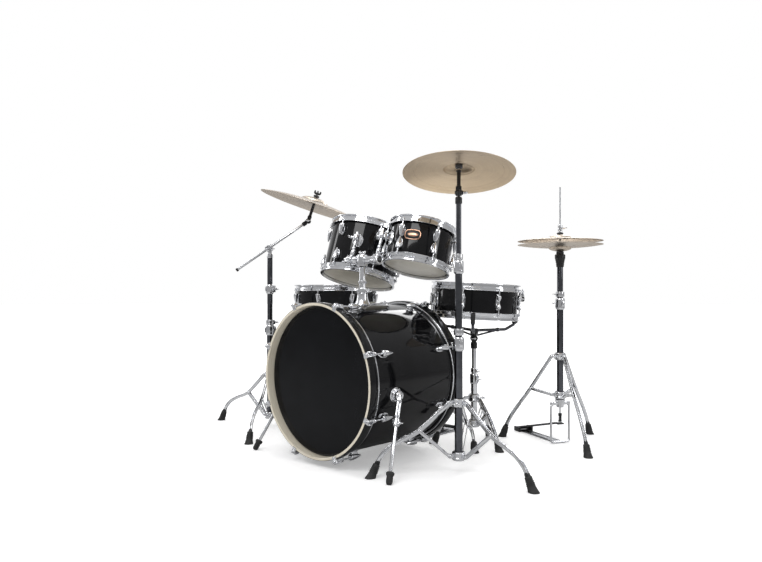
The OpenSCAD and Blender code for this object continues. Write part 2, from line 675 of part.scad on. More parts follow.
// ---------- ride stand with boom ----------
ride_lower_z = 2 * ride_leg[1].y - ride_leg[0].y;
boom_r = 6;
boom_dir = [cos(boom_rise) * cos(view_turn), cos(boom_rise) * sin(view_turn), sin(boom_rise)];
boom_mid = [ride_at.x, ride_at.y, boom_z];
boom_offset = 24;                       // boom runs beside the clamp's pivot
ride_plane = 66;
ride_bow = 24;
ride_bell = 24;
ride_seat = ride_plane + ride_bow + ride_bell * 0.98;
ride_pivot = boom_mid + boom_dir * (boom_front + 24);
module ride_tripod() place(ride_at) {
    tripod(ride_leg, ride_leg_turn, ride_lower_z, tube_r + slip / 2);
    color(chrome) difference() {
        union() {
            translate([0, 0, ride_lower_z - 15]) cylinder(h = 400, r = tube_r);
            translate([0, 0, 440]) cylinder(h = 48, r = 20);
        }
        translate([0, 0, ride_lower_z - 5]) cylinder(h = 700, r = mid_tube_r + slip);
    }
    color(chrome) rotate(60) translate([18, 0, 464]) wing_bolt(12);
}
// Boom pivot: its axis is level and square to the boom
module boom_frame() place(boom_mid) rotate(view_turn) children();
module ride_tube() {
    place(ride_at) {
        color(chrome) translate([0, 0, 230]) cylinder(h = boom_z - 26 - 230, r = mid_tube_r);
        color(chrome) clamp_ring(488 + 13, mid_tube_r - 0.5, 18, 24, 60);
        color(chrome) translate([0, 0, 636]) cylinder(h = 44, r = 18);
        color(chrome) rotate(60) translate([16, 0, 658]) wing_bolt(12);
    }
    color(chrome) boom_frame() {
        translate([0, 0, -46]) cylinder(h = 22, r = 15);
        translate([-9, -5, -26]) cube([18, 10, 18]);
        rotate([90, 0, 0]) cylinder(h = 10, r = 15, center = true);
        cross_pin([0, 0], 5, 5.5);
        rotate([-90, 0, 0]) cylinder(h = 34, r = 5);
        translate([0, 24, 0]) rotate(90) wing_bolt(8, 30);
    }
}
// Clamp block that turns on the pivot and grips the boom beside it
module ride_boom_clamp() color(chrome) boom_frame() rotate([0, -boom_rise, 0]) difference() {
    union() {
        translate([0, 5.4, 0]) rotate([-90, 0, 0]) cylinder(h = 12, r = 15);
        translate([0, -5.4, 0]) rotate([90, 0, 0]) cylinder(h = 32, r = 15);
        translate([-16, -boom_offset - 13, -13]) cube([32, 26, 26]);
    }
    rotate([-90, 0, 0]) cylinder(h = 60, r = 5 + slip, center = true);
    translate([-60, -boom_offset, 0]) rotate([0, 90, 0]) cylinder(h = 120, r = boom_r + slip);
}
module ride_boom() boom_frame() rotate([0, -boom_rise, 0]) translate([0, -boom_offset, 0]) {
    color(chrome) bar([-boom_back, 0, 0], [boom_front + 6, 0, 0], boom_r);
    color(black) bar([-boom_back - 10, 0, 0], [-boom_back - 0.1, 0, 0], 8);
    color(black) translate([boom_front + 24, 0, 0]) rotate([0, boom_rise, 0]) {
        tilter_knuckle();
        rotate([0, -boom_rise - 90, 0]) {
            translate([0, 0, 12.6]) cylinder(h = 20, r = 10);
            translate([-8, -4.9, 6]) cube([16, 9.8, 8]);
        }
    }
}
ride_shift = [boom_offset * sin(view_turn), -boom_offset * cos(view_turn), 0];
module ride_lean_frame() place(ride_pivot + ride_shift) lean_frame(view_turn, ride_lean)
    children();
module ride_tilter() ride_lean_frame() tilter_head(ride_seat - 10, ride_seat + 16);
module ride_cymbal() ride_lean_frame() {
    color(bronze) translate([0, 0, ride_plane]) cymbal(ride_d, 132, ride_bow, ride_bell);
    color(black) felt(ride_seat - 12, 10, 14);
    color(black) felt(ride_seat + 4, 9, 14);
}

// ---------- hi-hat ----------
hihat_lower_z = 205;
hihat_rod_r = 3;
hihat_gap = 14;                         // opening between the two edges at rest
hihat_seat_z = hihat_z - 22;
hihat_aim = 155;                        // direction from the column to the heel
heel_out = 290;
frame_half = 46;
module hihat_tripod() place(hihat_at) {
    tripod(hihat_leg, hihat_leg_turn, hihat_lower_z, tube_r + slip / 2);
    color(chrome) difference() {
        union() {
            translate([0, 0, hihat_lower_z - 20]) cylinder(h = 410, r = tube_r);
            translate([0, 0, 570]) cylinder(h = 50, r = 20);
            translate([0, 0, hihat_lower_z - 52]) cylinder(h = 34, r1 = 15, r2 = 22);
            rotate(hihat_aim) for (s = [-1, 1])
                translate([-6, s > 0 ? 8 : -48, hihat_lower_z - 42]) cube([12, 40, 14]);
        }
        translate([0, 0, hihat_lower_z - 18]) cylinder(h = 500, r = mid_tube_r + slip);
        translate([0, 0, 100]) cylinder(h = 200, r = hihat_rod_r + 1);
    }
    color(chrome) rotate(150) translate([18, 0, 595]) wing_bolt(12);
    // side frame, base plate and heel
    color(chrome) rotate(hihat_aim) {
        for (s = [-1, 1]) bar([0, s * frame_half, 6], [0, s * frame_half, 164], 5);
        bar([0, -frame_half, 6], [0, frame_half, 6], 5);
        translate([0, -24, 1]) cube([heel_out - 10, 48, 4]);
    }
    color(black) rotate(hihat_aim) difference() {
        translate([heel_out - 34, -38, 0]) cube([44, 76, 22]);
        translate([heel_out - 40, -29, 5.1]) cube([60, 58, 40]);
        cross_pin([heel_out, 14], 3 + slip, 60);
    }
}
module hihat_tube() place(hihat_at) {
    color(dark_steel) translate([0, 0, 400])
        pipe(mid_tube_r, hihat_rod_r + 1, hihat_seat_z - 32 - 400);
    color(chrome) clamp_ring(636, mid_tube_r - 0.5, 18, 22, 150);
    color(black) translate([0, 0, hihat_seat_z - 32]) pipe(22, hihat_rod_r + 1, 12);
    color(black) translate([0, 0, hihat_seat_z - 20]) pipe(6.6, hihat_rod_r + 1, 20);
}
module hihat_bottom_cymbal() place(hihat_at) {
    color(bronze) translate([0, 0, hihat_z]) mirror([0, 0, 1]) cymbal(hihat_d, 96, 12, 16);
    color(black) translate([0, 0, hihat_z - 41.9]) pipe(16, 6.8, 12.4);
}
module hihat_top_cymbal() place(hihat_at) translate([0, 0, hihat_z + hihat_gap]) {
    color(bronze) cymbal(hihat_d, 96, 12, 16);
    color(black) translate([0, 0, 29.4]) pipe(14, 6.2, 7);
    color(black) translate([0, 0, 18]) pipe(14, 6.2, 8);
    color(chrome) difference() {
        union() {
            translate([0, 0, 11]) cylinder(h = 60, r = 6);
            translate([0, 0, 11]) cylinder(h = 6.5, r = 9);
            translate([0, 0, 37]) cylinder(h = 32, r = 9.5);
            translate([8, 0, 54]) wing_bolt(8, 24);
        }
        cylinder(h = 200, r = hihat_rod_r + slip);
    }
}
module hihat_rod() place(hihat_at) {
    color(chrome) translate([0, 0, 128]) cylinder(h = 966, r = hihat_rod_r);
    color(black) translate([0, 0, 92]) cylinder(h = 36, r = 8);
}
module hihat_footboard() place(hihat_at) rotate(hihat_aim) color(black) {
    cross_pin([heel_out, 14], 3, 36);
    bar([heel_out, -26, 14], [heel_out, 26, 14], 7);
    strip([[heel_out - 6, 17], [20, 82]], 8, 52);
    translate([-8, -16, 80]) cube([34, 32, 6]);
}

// ---------- bass drum pedal ----------
pedal_x = -42;                          // pedal stands a little to one side
pedal_y = bass_hoop_end;                // rear face of the batter hoop
pedal_pivot = [pedal_x, pedal_y + 24, 168];
pedal_heel = [pedal_x, pedal_y + 352, 18];
pedal_board_half = 32;
beater_reach = 165;
beater_rest = 40;                       // beater leans back this far at rest
module pedal_frame() {
    color(dark_steel) place([pedal_x, pedal_y, 0]) translate([-46, 8, 0]) cube([92, 364, 5]);
    color(chrome) for (s = [-1, 1]) place([pedal_x + s * 42, pedal_pivot.y, 0]) difference() {
        union() {
            translate([-5, -8, 5]) cube([10, 16, pedal_pivot.z - 10]);
            translate([0, 0, pedal_pivot.z]) rotate([0, 90, 0])
                cylinder(h = 14, r = 13, center = true);
        }
        translate([0, 0, pedal_pivot.z]) rotate([0, 90, 0])
            cylinder(h = 30, r = 5 + slip, center = true);
    }
    color(chrome) difference() {
        place([pedal_x, pedal_y, 0]) translate([-18, -34, 0]) cube([36, 56, 30]);
        bass_frame() cylinder(h = 700, r = bass_hoop_r + 0.1, center = true);
        place([pedal_x, pedal_y, 0]) translate([-46, 7.9, -eps]) cube([92, 100, 6 + 0.1]);
    }
    color(black) for (s = [-1, 1]) place([pedal_x + s * 39, pedal_heel.y, 0]) difference() {
        translate([-3.5, -12, 5]) cube([7, 24, 24]);
        translate([-20, 0, pedal_heel.z]) rotate([0, 90, 0]) cylinder(h = 40, r = 4 + slip);
    }
}
module pedal_footboard() place(pedal_heel) color(black) {
    rotate([0, 90, 0]) cylinder(h = 86, r = 4, center = true);
    rotate([0, 90, 0]) cylinder(h = 68, r = 8, center = true);
    rotate(-90) strip([[4, 2], [300, 74]], 7, 2 * pedal_board_half);
}
module pedal_beater() place(pedal_pivot) {
    color(chrome) rotate([0, 90, 0]) cylinder(h = 102, r = 5, center = true);
    color(chrome) rotate([0, 90, 0]) cylinder(h = 24, r = 15, center = true);
    rotate([-beater_rest, 0, 0]) {
        color(chrome) translate([0, 0, 10]) cylinder(h = beater_reach + 12, r = 3.5);
        color(film_white) translate([0, 14, beater_reach]) rotate([90, 0, 0])
            cylinder(h = 52, r = 22);
    }
}

// ---------- snare stand ----------
snare_column_z = basket_z - 84;
module snare_tripod() place(snare_at) {
    tripod(snare_leg, snare_leg_turn, 88, tube_r + slip / 2);
    color(chrome) difference() {
        union() {
            translate([0, 0, 73]) cylinder(h = 200, r = tube_r);
            translate([0, 0, 256]) cylinder(h = 42, r = 19);
        }
        translate([0, 0, 80]) cylinder(h = 400, r = mid_tube_r - 3 + slip);
    }
    color(chrome) rotate(-20) translate([17, 0, 278]) wing_bolt(12);
}
module snare_tube() place(snare_at) {
    color(chrome) translate([0, 0, 150]) cylinder(h = snare_column_z - 30 - 150,
        r = mid_tube_r - 3);
    color(chrome) clamp_ring(312, mid_tube_r - 3.5, 15, 20, -20);
    color(black) translate([0, 0, snare_column_z]) rotate(view_turn) {
        rotate([90, 0, 0]) cylinder(h = 14, r = 15, center = true);
        cross_pin([0, 0], 5, 18);
        translate([0, 0, -44]) cylinder(h = 27.5, r = 14);
        translate([-10, -6.5, -18]) cube([20, 13, 12]);
        translate([0, -16, 0]) rotate(-90) wing_bolt(4, 28);
    }
}
module snare_basket() place([snare_at.x, snare_at.y, snare_column_z]) rotate(view_turn)
    rotate([0, snare_lean, 0]) {
        color(black) difference() {
            union() {
                for (s = [-1, 1]) translate([0, s * 10.5, 0]) rotate([90, 0, 0])
                    cylinder(h = 6, r = 15, center = true);
                for (s = [-1, 1]) translate([-10, s * 10.5 - 3, 0]) cube([20, 6, 26]);
                translate([0, 0, 18]) cylinder(h = 24, r = 17);
            }
            cross_pin([0, 0], 5 + slip, 30);
        }
        around(3, 20) {
            color(chrome) {
                bar([14, 0, 34], [150, 0, 42], 5);
                translate([150, 0, 42]) sphere(r = 5);
                bar([150, 0, 42], [192, 0, 66], 5);
            }
            color(black) translate([184, -9, 71]) cube([20, 18, 6]);
            color(black) translate([199, -9, 71]) cube([6, 18, 38]);
        }
    }

bass_shell();
bass_hoops();
bass_heads();
bass_lugs();
bass_claws();
bass_brackets();
spur_right();
spur_left();
tom_post();
tom_arm_right();
tom_arm_left();
high_tom_shell();
high_tom_heads();
high_tom_hoops();
high_tom_lugs();
mid_tom_shell();
mid_tom_heads();
mid_tom_hoops();
mid_tom_lugs();
floor_tom_shell();
floor_tom_heads();
floor_tom_hoops();
floor_tom_lugs();
floor_tom_legs();
snare_shell();
snare_heads();
snare_hoops();
snare_lugs();
snare_wires();
snare_throw_lever();
snare_tripod();
snare_tube();
snare_basket();
crash_base();
crash_collar();
crash_leg_1();
crash_leg_2();
crash_leg_3();
crash_brace_1();
crash_brace_2();
crash_brace_3();
crash_mid_tube();
crash_top_tube();
crash_tilter();
crash_cymbal();
ride_tripod();
ride_tube();
ride_boom_clamp();
ride_boom();
ride_tilter();
ride_cymbal();
hihat_tripod();
hihat_tube();
hihat_rod();
hihat_top_cymbal();
hihat_bottom_cymbal();
hihat_footboard();
pedal_frame();
pedal_footboard();
pedal_beater();
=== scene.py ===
import json
import math

import bmesh
import bpy
import numpy as np
from mathutils import Matrix, Vector


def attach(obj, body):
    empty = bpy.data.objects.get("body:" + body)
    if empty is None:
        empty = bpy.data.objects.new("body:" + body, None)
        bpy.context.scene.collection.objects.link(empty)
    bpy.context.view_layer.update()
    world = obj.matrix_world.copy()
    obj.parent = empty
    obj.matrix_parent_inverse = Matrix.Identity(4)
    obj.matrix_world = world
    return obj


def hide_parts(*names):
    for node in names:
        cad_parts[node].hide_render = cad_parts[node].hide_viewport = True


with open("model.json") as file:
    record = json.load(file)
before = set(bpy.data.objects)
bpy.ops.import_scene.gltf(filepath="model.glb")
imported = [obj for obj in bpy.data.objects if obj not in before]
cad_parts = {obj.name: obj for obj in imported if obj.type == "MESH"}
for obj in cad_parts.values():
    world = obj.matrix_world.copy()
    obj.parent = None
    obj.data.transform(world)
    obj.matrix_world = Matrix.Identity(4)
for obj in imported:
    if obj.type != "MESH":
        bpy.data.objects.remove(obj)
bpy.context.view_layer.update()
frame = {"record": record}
scene = bpy.context.scene

# Each piece is built about its own axis and placed by a matrix.
MM = 0.001
KIT_MID = Vector((-129.0, 364.0, 0.0))
VIEW_TURN = 43.23
TOM_LEAN = 17  # degrees both toms lean towards the drummer
BOTH = (-1, 1)


# ---------------------------------------------------------------- placing
def T(x, y, z=0.0):
    return Matrix.Translation((x, y, z))


def R(degrees, axis):
    return Matrix.Rotation(math.radians(degrees), 4, axis)


def S(x, y, z):
    return Matrix.Diagonal((x, y, z, 1.0))


I4 = Matrix.Identity(4)
FLIP = S(1, 1, -1)
FACE_OUT = R(90, "Y") @ R(90, "Z")  # stands a plate up on the +X side of a drum, width first
ON_EDGE = R(90, "X")
X_LINE = R(90, "Y")
ENDS = (("top", I4), ("bottom", FLIP))


def aim(a, b):
    """Puts local +Z along the line from a to b, starting at a."""
    return T(*a) @ (Vector(b) - Vector(a)).to_track_quat("Z", "Y").to_matrix().to_4x4()


def place(x, y, z=0.0):
    return T(x - KIT_MID.x, y - KIT_MID.y, z)


def polar(r, degrees, z=0.0):
    a = math.radians(degrees)
    return Vector((r * math.cos(a), r * math.sin(a), z))


def along(p, towards, distance):
    return Vector(p) + Vector(towards).normalized() * distance


# ---------------------------------------------------------------- shapes
def soft(points, radius, closed=False, steps=3):
    """An outline with its corners rounded. An open one keeps its two ends."""
    out, n = [], len(points)
    for i in range(n):
        p = Vector(points[i])
        if not closed and i in (0, n - 1):
            out.append(tuple(p))
            continue
        u, v = Vector(points[i - 1]) - p, Vector(points[(i + 1) % n]) - p
        lu, lv = u.length, v.length
        if lu < 1e-9 or lv < 1e-9:
            continue
        u, v = u / lu, v / lv
        half = math.acos(max(-1.0, min(1.0, u.dot(v)))) / 2
        if half > 1.55:  # almost straight
            out.append(tuple(p))
            continue
        d = min(radius / math.tan(half), 0.46 * lu, 0.46 * lv)
        for k in range(steps + 1):
            t = k / steps
            out.append(tuple((p + u * d) * (1 - t) ** 2 + p * 2 * t * (1 - t) + (p + v * d) * t * t))
    return out


def lathe(profile, seg=64, closed=False):
    """Turns (radius, height) points about Z. Points on the axis close the shape."""
    verts, rows = [], []
    turn = [2 * math.pi * k / seg for k in range(seg)]
    for r, z in profile:
        if r < 1e-5:
            rows.append([len(verts)] * seg)
            verts.append((0.0, 0.0, z))
        else:
            rows.append(list(range(len(verts), len(verts) + seg)))
            verts.extend((r * math.cos(a), r * math.sin(a), z) for a in turn)
    faces = []
    for i in range(len(profile) - (0 if closed else 1)):
        a, b = rows[i], rows[(i + 1) % len(rows)]
        on_a, on_b = a[0] == a[1], b[0] == b[1]
        for k in range(seg):
            m = (k + 1) % seg
            if on_a and on_b:
                continue
            if on_a:
                faces.append((a[k], b[m], b[k]))
            elif on_b:
                faces.append((a[k], a[m], b[k]))
            else:
                faces.append((a[k], a[m], b[m], b[k]))
    return verts, faces


def turned(profile, bevel, seg, closed=False, steps=3):
    """A turned piece with rounded corners."""
    return lathe(soft(profile, bevel, closed, steps), seg, closed)


def bushing(profile, bevel, seg, steps=3):
    """A turned piece with a bore: its profile closes on itself, off the axis."""
    return turned(profile, bevel, seg, True, steps)


def moved(part, m):
    verts = [tuple(m @ Vector(v)) for v in part[0]]
    return verts, [tuple(reversed(f)) for f in part[1]] if m.determinant() < 0 else part[1]


def rod(a, b, r, bevel, seg):
    h = (Vector(b) - Vector(a)).length
    return moved(turned([(0, 0), (r, 0), (r, h), (0, h)], bevel, seg), aim(a, b))


def x_rod(half, r, bevel, seg):
    return rod((-half, 0, 0), (half, 0, 0), r, bevel, seg)


def y_rod(half, r, bevel, seg):
    return rod((0, -half, 0), (0, half, 0), r, bevel, seg)


def z_rod(x, z0, z1, r, bevel, seg):
    return rod((x, 0, z0), (x, 0, z1), r, bevel, seg)


def ring(r_out, r_in, z0, z1, bevel, seg):
    return bushing([(r_in, z0), (r_out, z0), (r_out, z1), (r_in, z1)], bevel, seg)


def tube(r, z0, z1):
    """A stand's tube, closed at its ends."""
    return lathe([(0, z0), (r - 0.9, z0), (r, z0 + 0.9), (r, z1 - 0.9), (r - 0.9, z1), (0, z1)], 72)


def plate(outline, t, bevel):
    """A flat piece of thickness t about Z = 0, its rims chamfered twice."""
    p = np.array(outline, float)
    x, y = p[:, 0], p[:, 1]
    if (x * np.roll(y, -1) - np.roll(x, -1) * y).sum() < 0:
        p = p[::-1]
    before, after = p - np.roll(p, 1, 0), np.roll(p, -1, 0) - p
    nb = np.stack([before[:, 1], -before[:, 0]], 1) / np.linalg.norm(before, axis=1)[:, None]
    na = np.stack([after[:, 1], -after[:, 0]], 1) / np.linalg.norm(after, axis=1)[:, None]
    m = nb + na
    m = m * 2 / np.maximum((m * m).sum(1), 0.6)[:, None]
    b = min(bevel, t / 2.01)
    levels = [(1.0, -t / 2), (0.35, -t / 2 + 0.35 * b), (0.0, -t / 2 + b), (0.0, t / 2 - b),
              (0.35, t / 2 - 0.35 * b), (1.0, t / 2)]
    verts, faces, n = [], [], len(p)
    for inset, z in levels:
        verts.extend((q[0], q[1], z) for q in p - m * b * inset)
    for i in range(len(levels) - 1):
        for k in range(n):
            m2 = (k + 1) % n
            faces.append((i * n + k, i * n + m2, (i + 1) * n + m2, (i + 1) * n + k))
    faces.append(tuple(range(n - 1, -1, -1)))
    faces.append(tuple(range((len(levels) - 1) * n, len(levels) * n)))
    return verts, faces


def block(sx, sy, sz, bevel):
    """A box about the origin with rounded edges."""
    bm = bmesh.new()
    bmesh.ops.create_cube(bm, size=1.0)
    bmesh.ops.scale(bm, vec=(sx, sy, sz), verts=bm.verts)
    bmesh.ops.bevel(bm, geom=bm.edges[:], offset=min(bevel, 0.45 * min(sx, sy, sz)), segments=3,
                    profile=0.5, affect="EDGES")
    part = [tuple(v.co) for v in bm.verts], [tuple(v.index for v in f.verts) for f in bm.faces]
    bm.free()
    return part


def smooth_path(points, steps):
    """A Catmull-Rom curve through the points."""
    p = [points[0] * 2 - points[1], *points, points[-1] * 2 - points[-2]]
    out = []
    for i in range(1, len(p) - 2):
        for k in range(steps):
            t = k / steps
            out.append(0.5 * (2 * p[i] + (p[i + 1] - p[i - 1]) * t
                              + (2 * p[i - 1] - 5 * p[i] + 4 * p[i + 1] - p[i + 2]) * t * t
                              + (3 * p[i] - p[i - 1] - 3 * p[i + 1] + p[i + 2]) * t ** 3))
    out.append(p[-2])
    return out


def sweep(path, r, seg=14, closed=False):
    """A round bar along a path."""
    p = [Vector(q) for q in path]
    n = len(p)
    tangent = [(p[min(i + 1, n - 1)] - p[max(i - 1, 0)]).normalized() for i in range(n)]
    if closed:
        tangent = [(p[(i + 1) % n] - p[i - 1]).normalized() for i in range(n)]
    side = tangent[0].orthogonal().normalized()
    verts, faces = [], []
    for i in range(n):
        side = (side - tangent[i] * side.dot(tangent[i])).normalized()
        other = tangent[i].cross(side)
        for k in range(seg):
            a = 2 * math.pi * k / seg
            verts.append(tuple(p[i] + (side * math.cos(a) + other * math.sin(a)) * r))
    for i in range(n if closed else n - 1):
        j = (i + 1) % n
        for k in range(seg):
            m = (k + 1) % seg
            faces.append((i * seg + k, i * seg + m, j * seg + m, j * seg + k))
    if not closed:
        faces.append(tuple(range(seg - 1, -1, -1)))
        faces.append(tuple(range((n - 1) * seg, n * seg)))
    return verts, faces


def bent_bar(points, bend, steps, r):
    """A round bar of straight runs joined by bends."""
    return sweep(soft(points, bend, False, steps), r, 18)


def helix(r, z0, z1, turns, wire, seg=8, per_turn=16):
    n = int(turns * per_turn)
    return sweep([polar(r, 360 * turns * k / n, z0 + (z1 - z0) * k / n) for k in range(n + 1)], wire, seg)


class Shape(tuple):
    """Parts gathered into one. It is a part itself: its corners and its faces."""

    def __new__(cls):
        return super().__new__(cls, ([], []))

    def add(self, part, at=I4):
        verts, faces = moved(part, at)
        base = len(self[0])
        self[0].extend(verts)
        self[1].extend(tuple(base + i for i in f) for f in faces)
        return self

    def around(self, part, count, start=0.0, at=I4):
        for k in range(count):
            self.add(part, R(start + 360.0 * k / count, "Z") @ at)
        return self


def shapes(count):
    return [Shape() for _ in range(count)]


BODY_OF = {n: b for b, ns in frame["record"]["behaviour"]["bodies"].items() for n in ns}
# The record's slot for each look; the badges have none
SLOT_OF = dict(chrome_plate="chrome_plate", plain_steel="chrome_plate", smoked_tube="chrome_plate",
               black_lacquer="black_lacquer", drum_film="drum_film", coated_film="drum_film",
               black_film="black_film", foot_rubber="black_casting", black_casting="black_casting",
               black_felt="black_casting", white_felt="felt_white", copper_badge=None,
               **{f"cymbal_bronze_{k}": "bronze" for k in range(4)})


def emit(name, shape, material, node, at=I4, slot="own", sharp=34.0):
    """Makes the piece, hides the CAD node it stands for, and rides on its body."""
    mesh = bpy.data.meshes.new(name)
    mesh.from_pydata([(v[0] * MM, v[1] * MM, v[2] * MM) for v in shape[0]], [], shape[1])
    bm = bmesh.new()
    bm.from_mesh(mesh)
    bmesh.ops.recalc_face_normals(bm, faces=bm.faces)
    bm.to_mesh(mesh)
    bm.free()
    mesh.materials.append(material)
    mesh.shade_smooth()
    mesh.set_sharp_from_angle(angle=math.radians(sharp))
    mesh.update()
    obj = bpy.data.objects.new(name, mesh)
    scene.collection.objects.link(obj)
    m = at.copy()
    m.translation = m.translation * MM
    obj.matrix_world = m
    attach(obj, BODY_OF[node])
    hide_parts(node)
    if slot == "own":
        slot = SLOT_OF[material.name.split(".")[0]]  # Blender numbers a look that shares a slot's name


def emit_set(stem, node, at, *pieces):
    """Emits (suffix, shape, material) pieces of one node that share a place."""
    for suffix, shape, material in pieces:
        emit(stem + suffix, shape, material, node, at)


# ---------------------------------------------------------------- materials
class Graph:
    """A material's nodes, written as short calls."""

    def __init__(self, name):
        self.mat = bpy.data.materials.new(name)
        self.mat.use_nodes = True
        self.tree = self.mat.node_tree
        self.bsdf = self.tree.nodes["Principled BSDF"]
        self.coord = self.node("ShaderNodeTexCoord").outputs["Object"]

    def node(self, kind, **values):
        n = self.tree.nodes.new(kind)
        for k, v in values.items():
            setattr(n, k, v)
        return n

    def link(self, a, b):
        self.tree.links.new(a, b)

    def put(self, node, socket, value):
        if isinstance(value, bpy.types.NodeSocket):
            self.link(value, node.inputs[socket])
        else:
            node.inputs[socket].default_value = value

    def noise(self, scale, detail=3.0, rough=0.5, at=None, stretch=None):
        n = self.node("ShaderNodeTexNoise")
        self.put(n, "Scale", scale)
        self.put(n, "Detail", detail)
        self.put(n, "Roughness", rough)
        source = at or self.coord
        if stretch:
            m = self.node("ShaderNodeMapping")
            self.put(m, "Scale", stretch)
            self.link(source, m.inputs["Vector"])
            source = m.outputs["Vector"]
        self.link(source, n.inputs["Vector"])
        return n.outputs["Fac"]

    def dents(self, scale, smooth):
        n = self.node("ShaderNodeTexVoronoi", feature="SMOOTH_F1")
        self.put(n, "Scale", scale)
        self.put(n, "Smoothness", smooth)
        self.link(self.coord, n.inputs["Vector"])
        return n.outputs["Distance"]

    def math(self, op, a, b=0.0, c=0.0):
        n = self.node("ShaderNodeMath", operation=op)
        for i, v in enumerate((a, b, c)):
            self.put(n, i, v)
        return n.outputs[0]

    def ramp(self, value, low, high, lo=0.0, hi=1.0):
        """low to high, as a number or a colour, while value goes from lo to hi."""
        n = self.node("ShaderNodeMapRange")
        self.put(n, "Value", value)
        self.put(n, "From Min", lo)
        self.put(n, "From Max", hi)
        if isinstance(low, (int, float)):
            self.put(n, "To Min", low)
            self.put(n, "To Max", high)
            return n.outputs["Result"]
        return self.mix(n.outputs["Result"], low, high)

    def mix(self, fac, a, b, blend="MIX"):
        n = self.node("ShaderNodeMix", data_type="RGBA", blend_type=blend)
        self.put(n, 0, fac)
        for i, v in ((6, a), (7, b)):
            self.put(n, i, v if isinstance(v, bpy.types.NodeSocket) else (*v, 1.0))
        return n.outputs[2]

    def bump(self, height, distance, strength, after=None):
        n = self.node("ShaderNodeBump")
        self.put(n, "Strength", strength)
        self.put(n, "Distance", distance)
        self.link(height, n.inputs["Height"])
        if after:
            self.link(after, n.inputs["Normal"])
        return n.outputs["Normal"]

    def radius(self):
        """Distance from the Z axis, and x, y and z."""
        s = self.node("ShaderNodeSeparateXYZ")
        self.link(self.coord, s.inputs[0])
        x, y, z = s.outputs
        squares = self.math("ADD", self.math("MULTIPLY", x, x), self.math("MULTIPLY", y, y))
        return self.math("SQRT", squares), x, y, z

    def set(self, **values):
        for k, v in values.items():
            self.put(self.bsdf, k.replace("_", " "), (*v, 1.0) if isinstance(v, tuple) else v)
        return self.mat


def chrome_material(name, tint=(0.90, 0.91, 0.93), dark=(0.78, 0.79, 0.82), rough=(0.03, 0.10)):
    g = Graph(name)
    haze = g.noise(38.0, 4.0, 0.6)
    fine = g.noise(900.0, 2.0, 0.5, stretch=(1.0, 1.0, 0.08))
    smear = g.math("MULTIPLY_ADD", fine, 0.35, g.math("MULTIPLY", haze, 0.65))
    wave = g.noise(55.0, 2.0)
    return g.set(Base_Color=g.ramp(haze, dark, tint, 0.25, 0.6), Metallic=1.0,
                 Roughness=g.ramp(smear, *rough, 0.3, 0.75),
                 Normal=g.bump(wave, 0.00012, 0.15, g.bump(fine, 0.00001, 0.15)))


def lacquer_material(name):
    g = Graph(name)
    peel = g.noise(420.0, 2.0, 0.5)
    broad = g.noise(14.0, 2.0)
    dust = g.noise(60.0, 6.0, 0.7)
    return g.set(Base_Color=g.ramp(broad, (0.0035, 0.0036, 0.004), (0.007, 0.007, 0.008), 0.3, 0.7),
                 Roughness=g.ramp(dust, 0.045, 0.11, 0.35, 0.8), Specular_IOR_Level=0.26,
                 Coat_Weight=0.08, Coat_Roughness=0.03,
                 Normal=g.bump(peel, 0.00004, 0.3, g.bump(broad, 0.0008, 0.12)))


def maple_material(name):
    g = Graph(name)
    r, x, y, z = g.radius()
    angle = g.math("MULTIPLY", g.math("ARCTAN2", y, x), 0.09)
    c = g.node("ShaderNodeCombineXYZ")
    g.link(angle, c.inputs[0])
    g.link(z, c.inputs[1])
    g.link(r, c.inputs[2])
    grain = g.noise(60.0, 5.0, 0.65, at=c.outputs[0], stretch=(0.6, 9.0, 9.0))
    pores = g.noise(300.0, 3.0, 0.6, at=c.outputs[0], stretch=(0.5, 6.0, 6.0))
    tone = g.ramp(grain, (0.66, 0.59, 0.46), (0.84, 0.79, 0.67), 0.35, 0.65)
    tone = g.mix(g.ramp(pores, 0.0, 0.35, 0.6, 0.85), tone, (0.5, 0.4, 0.27))
    return g.set(Base_Color=tone, Roughness=g.ramp(grain, 0.28, 0.42), Coat_Weight=0.3,
                 Coat_Roughness=0.12, Normal=g.bump(pores, 0.00006, 0.4))


def film_material(name, low, high, rough, coat, grain=700.0, depth=0.00005):
    """Drum head film: faint mottling and a fine sprayed texture."""
    g = Graph(name)
    cloud = g.noise(9.0, 4.0, 0.6)
    spray = g.noise(grain, 3.0, 0.6)
    tone = g.ramp(cloud, low, high, 0.3, 0.7)
    return g.set(Base_Color=tone, Roughness=g.ramp(spray, *rough, 0.3, 0.7), Coat_Weight=coat,
                 Coat_Roughness=0.06, Normal=g.bump(spray, depth, 0.5, g.bump(cloud, 0.0006, 0.15)))


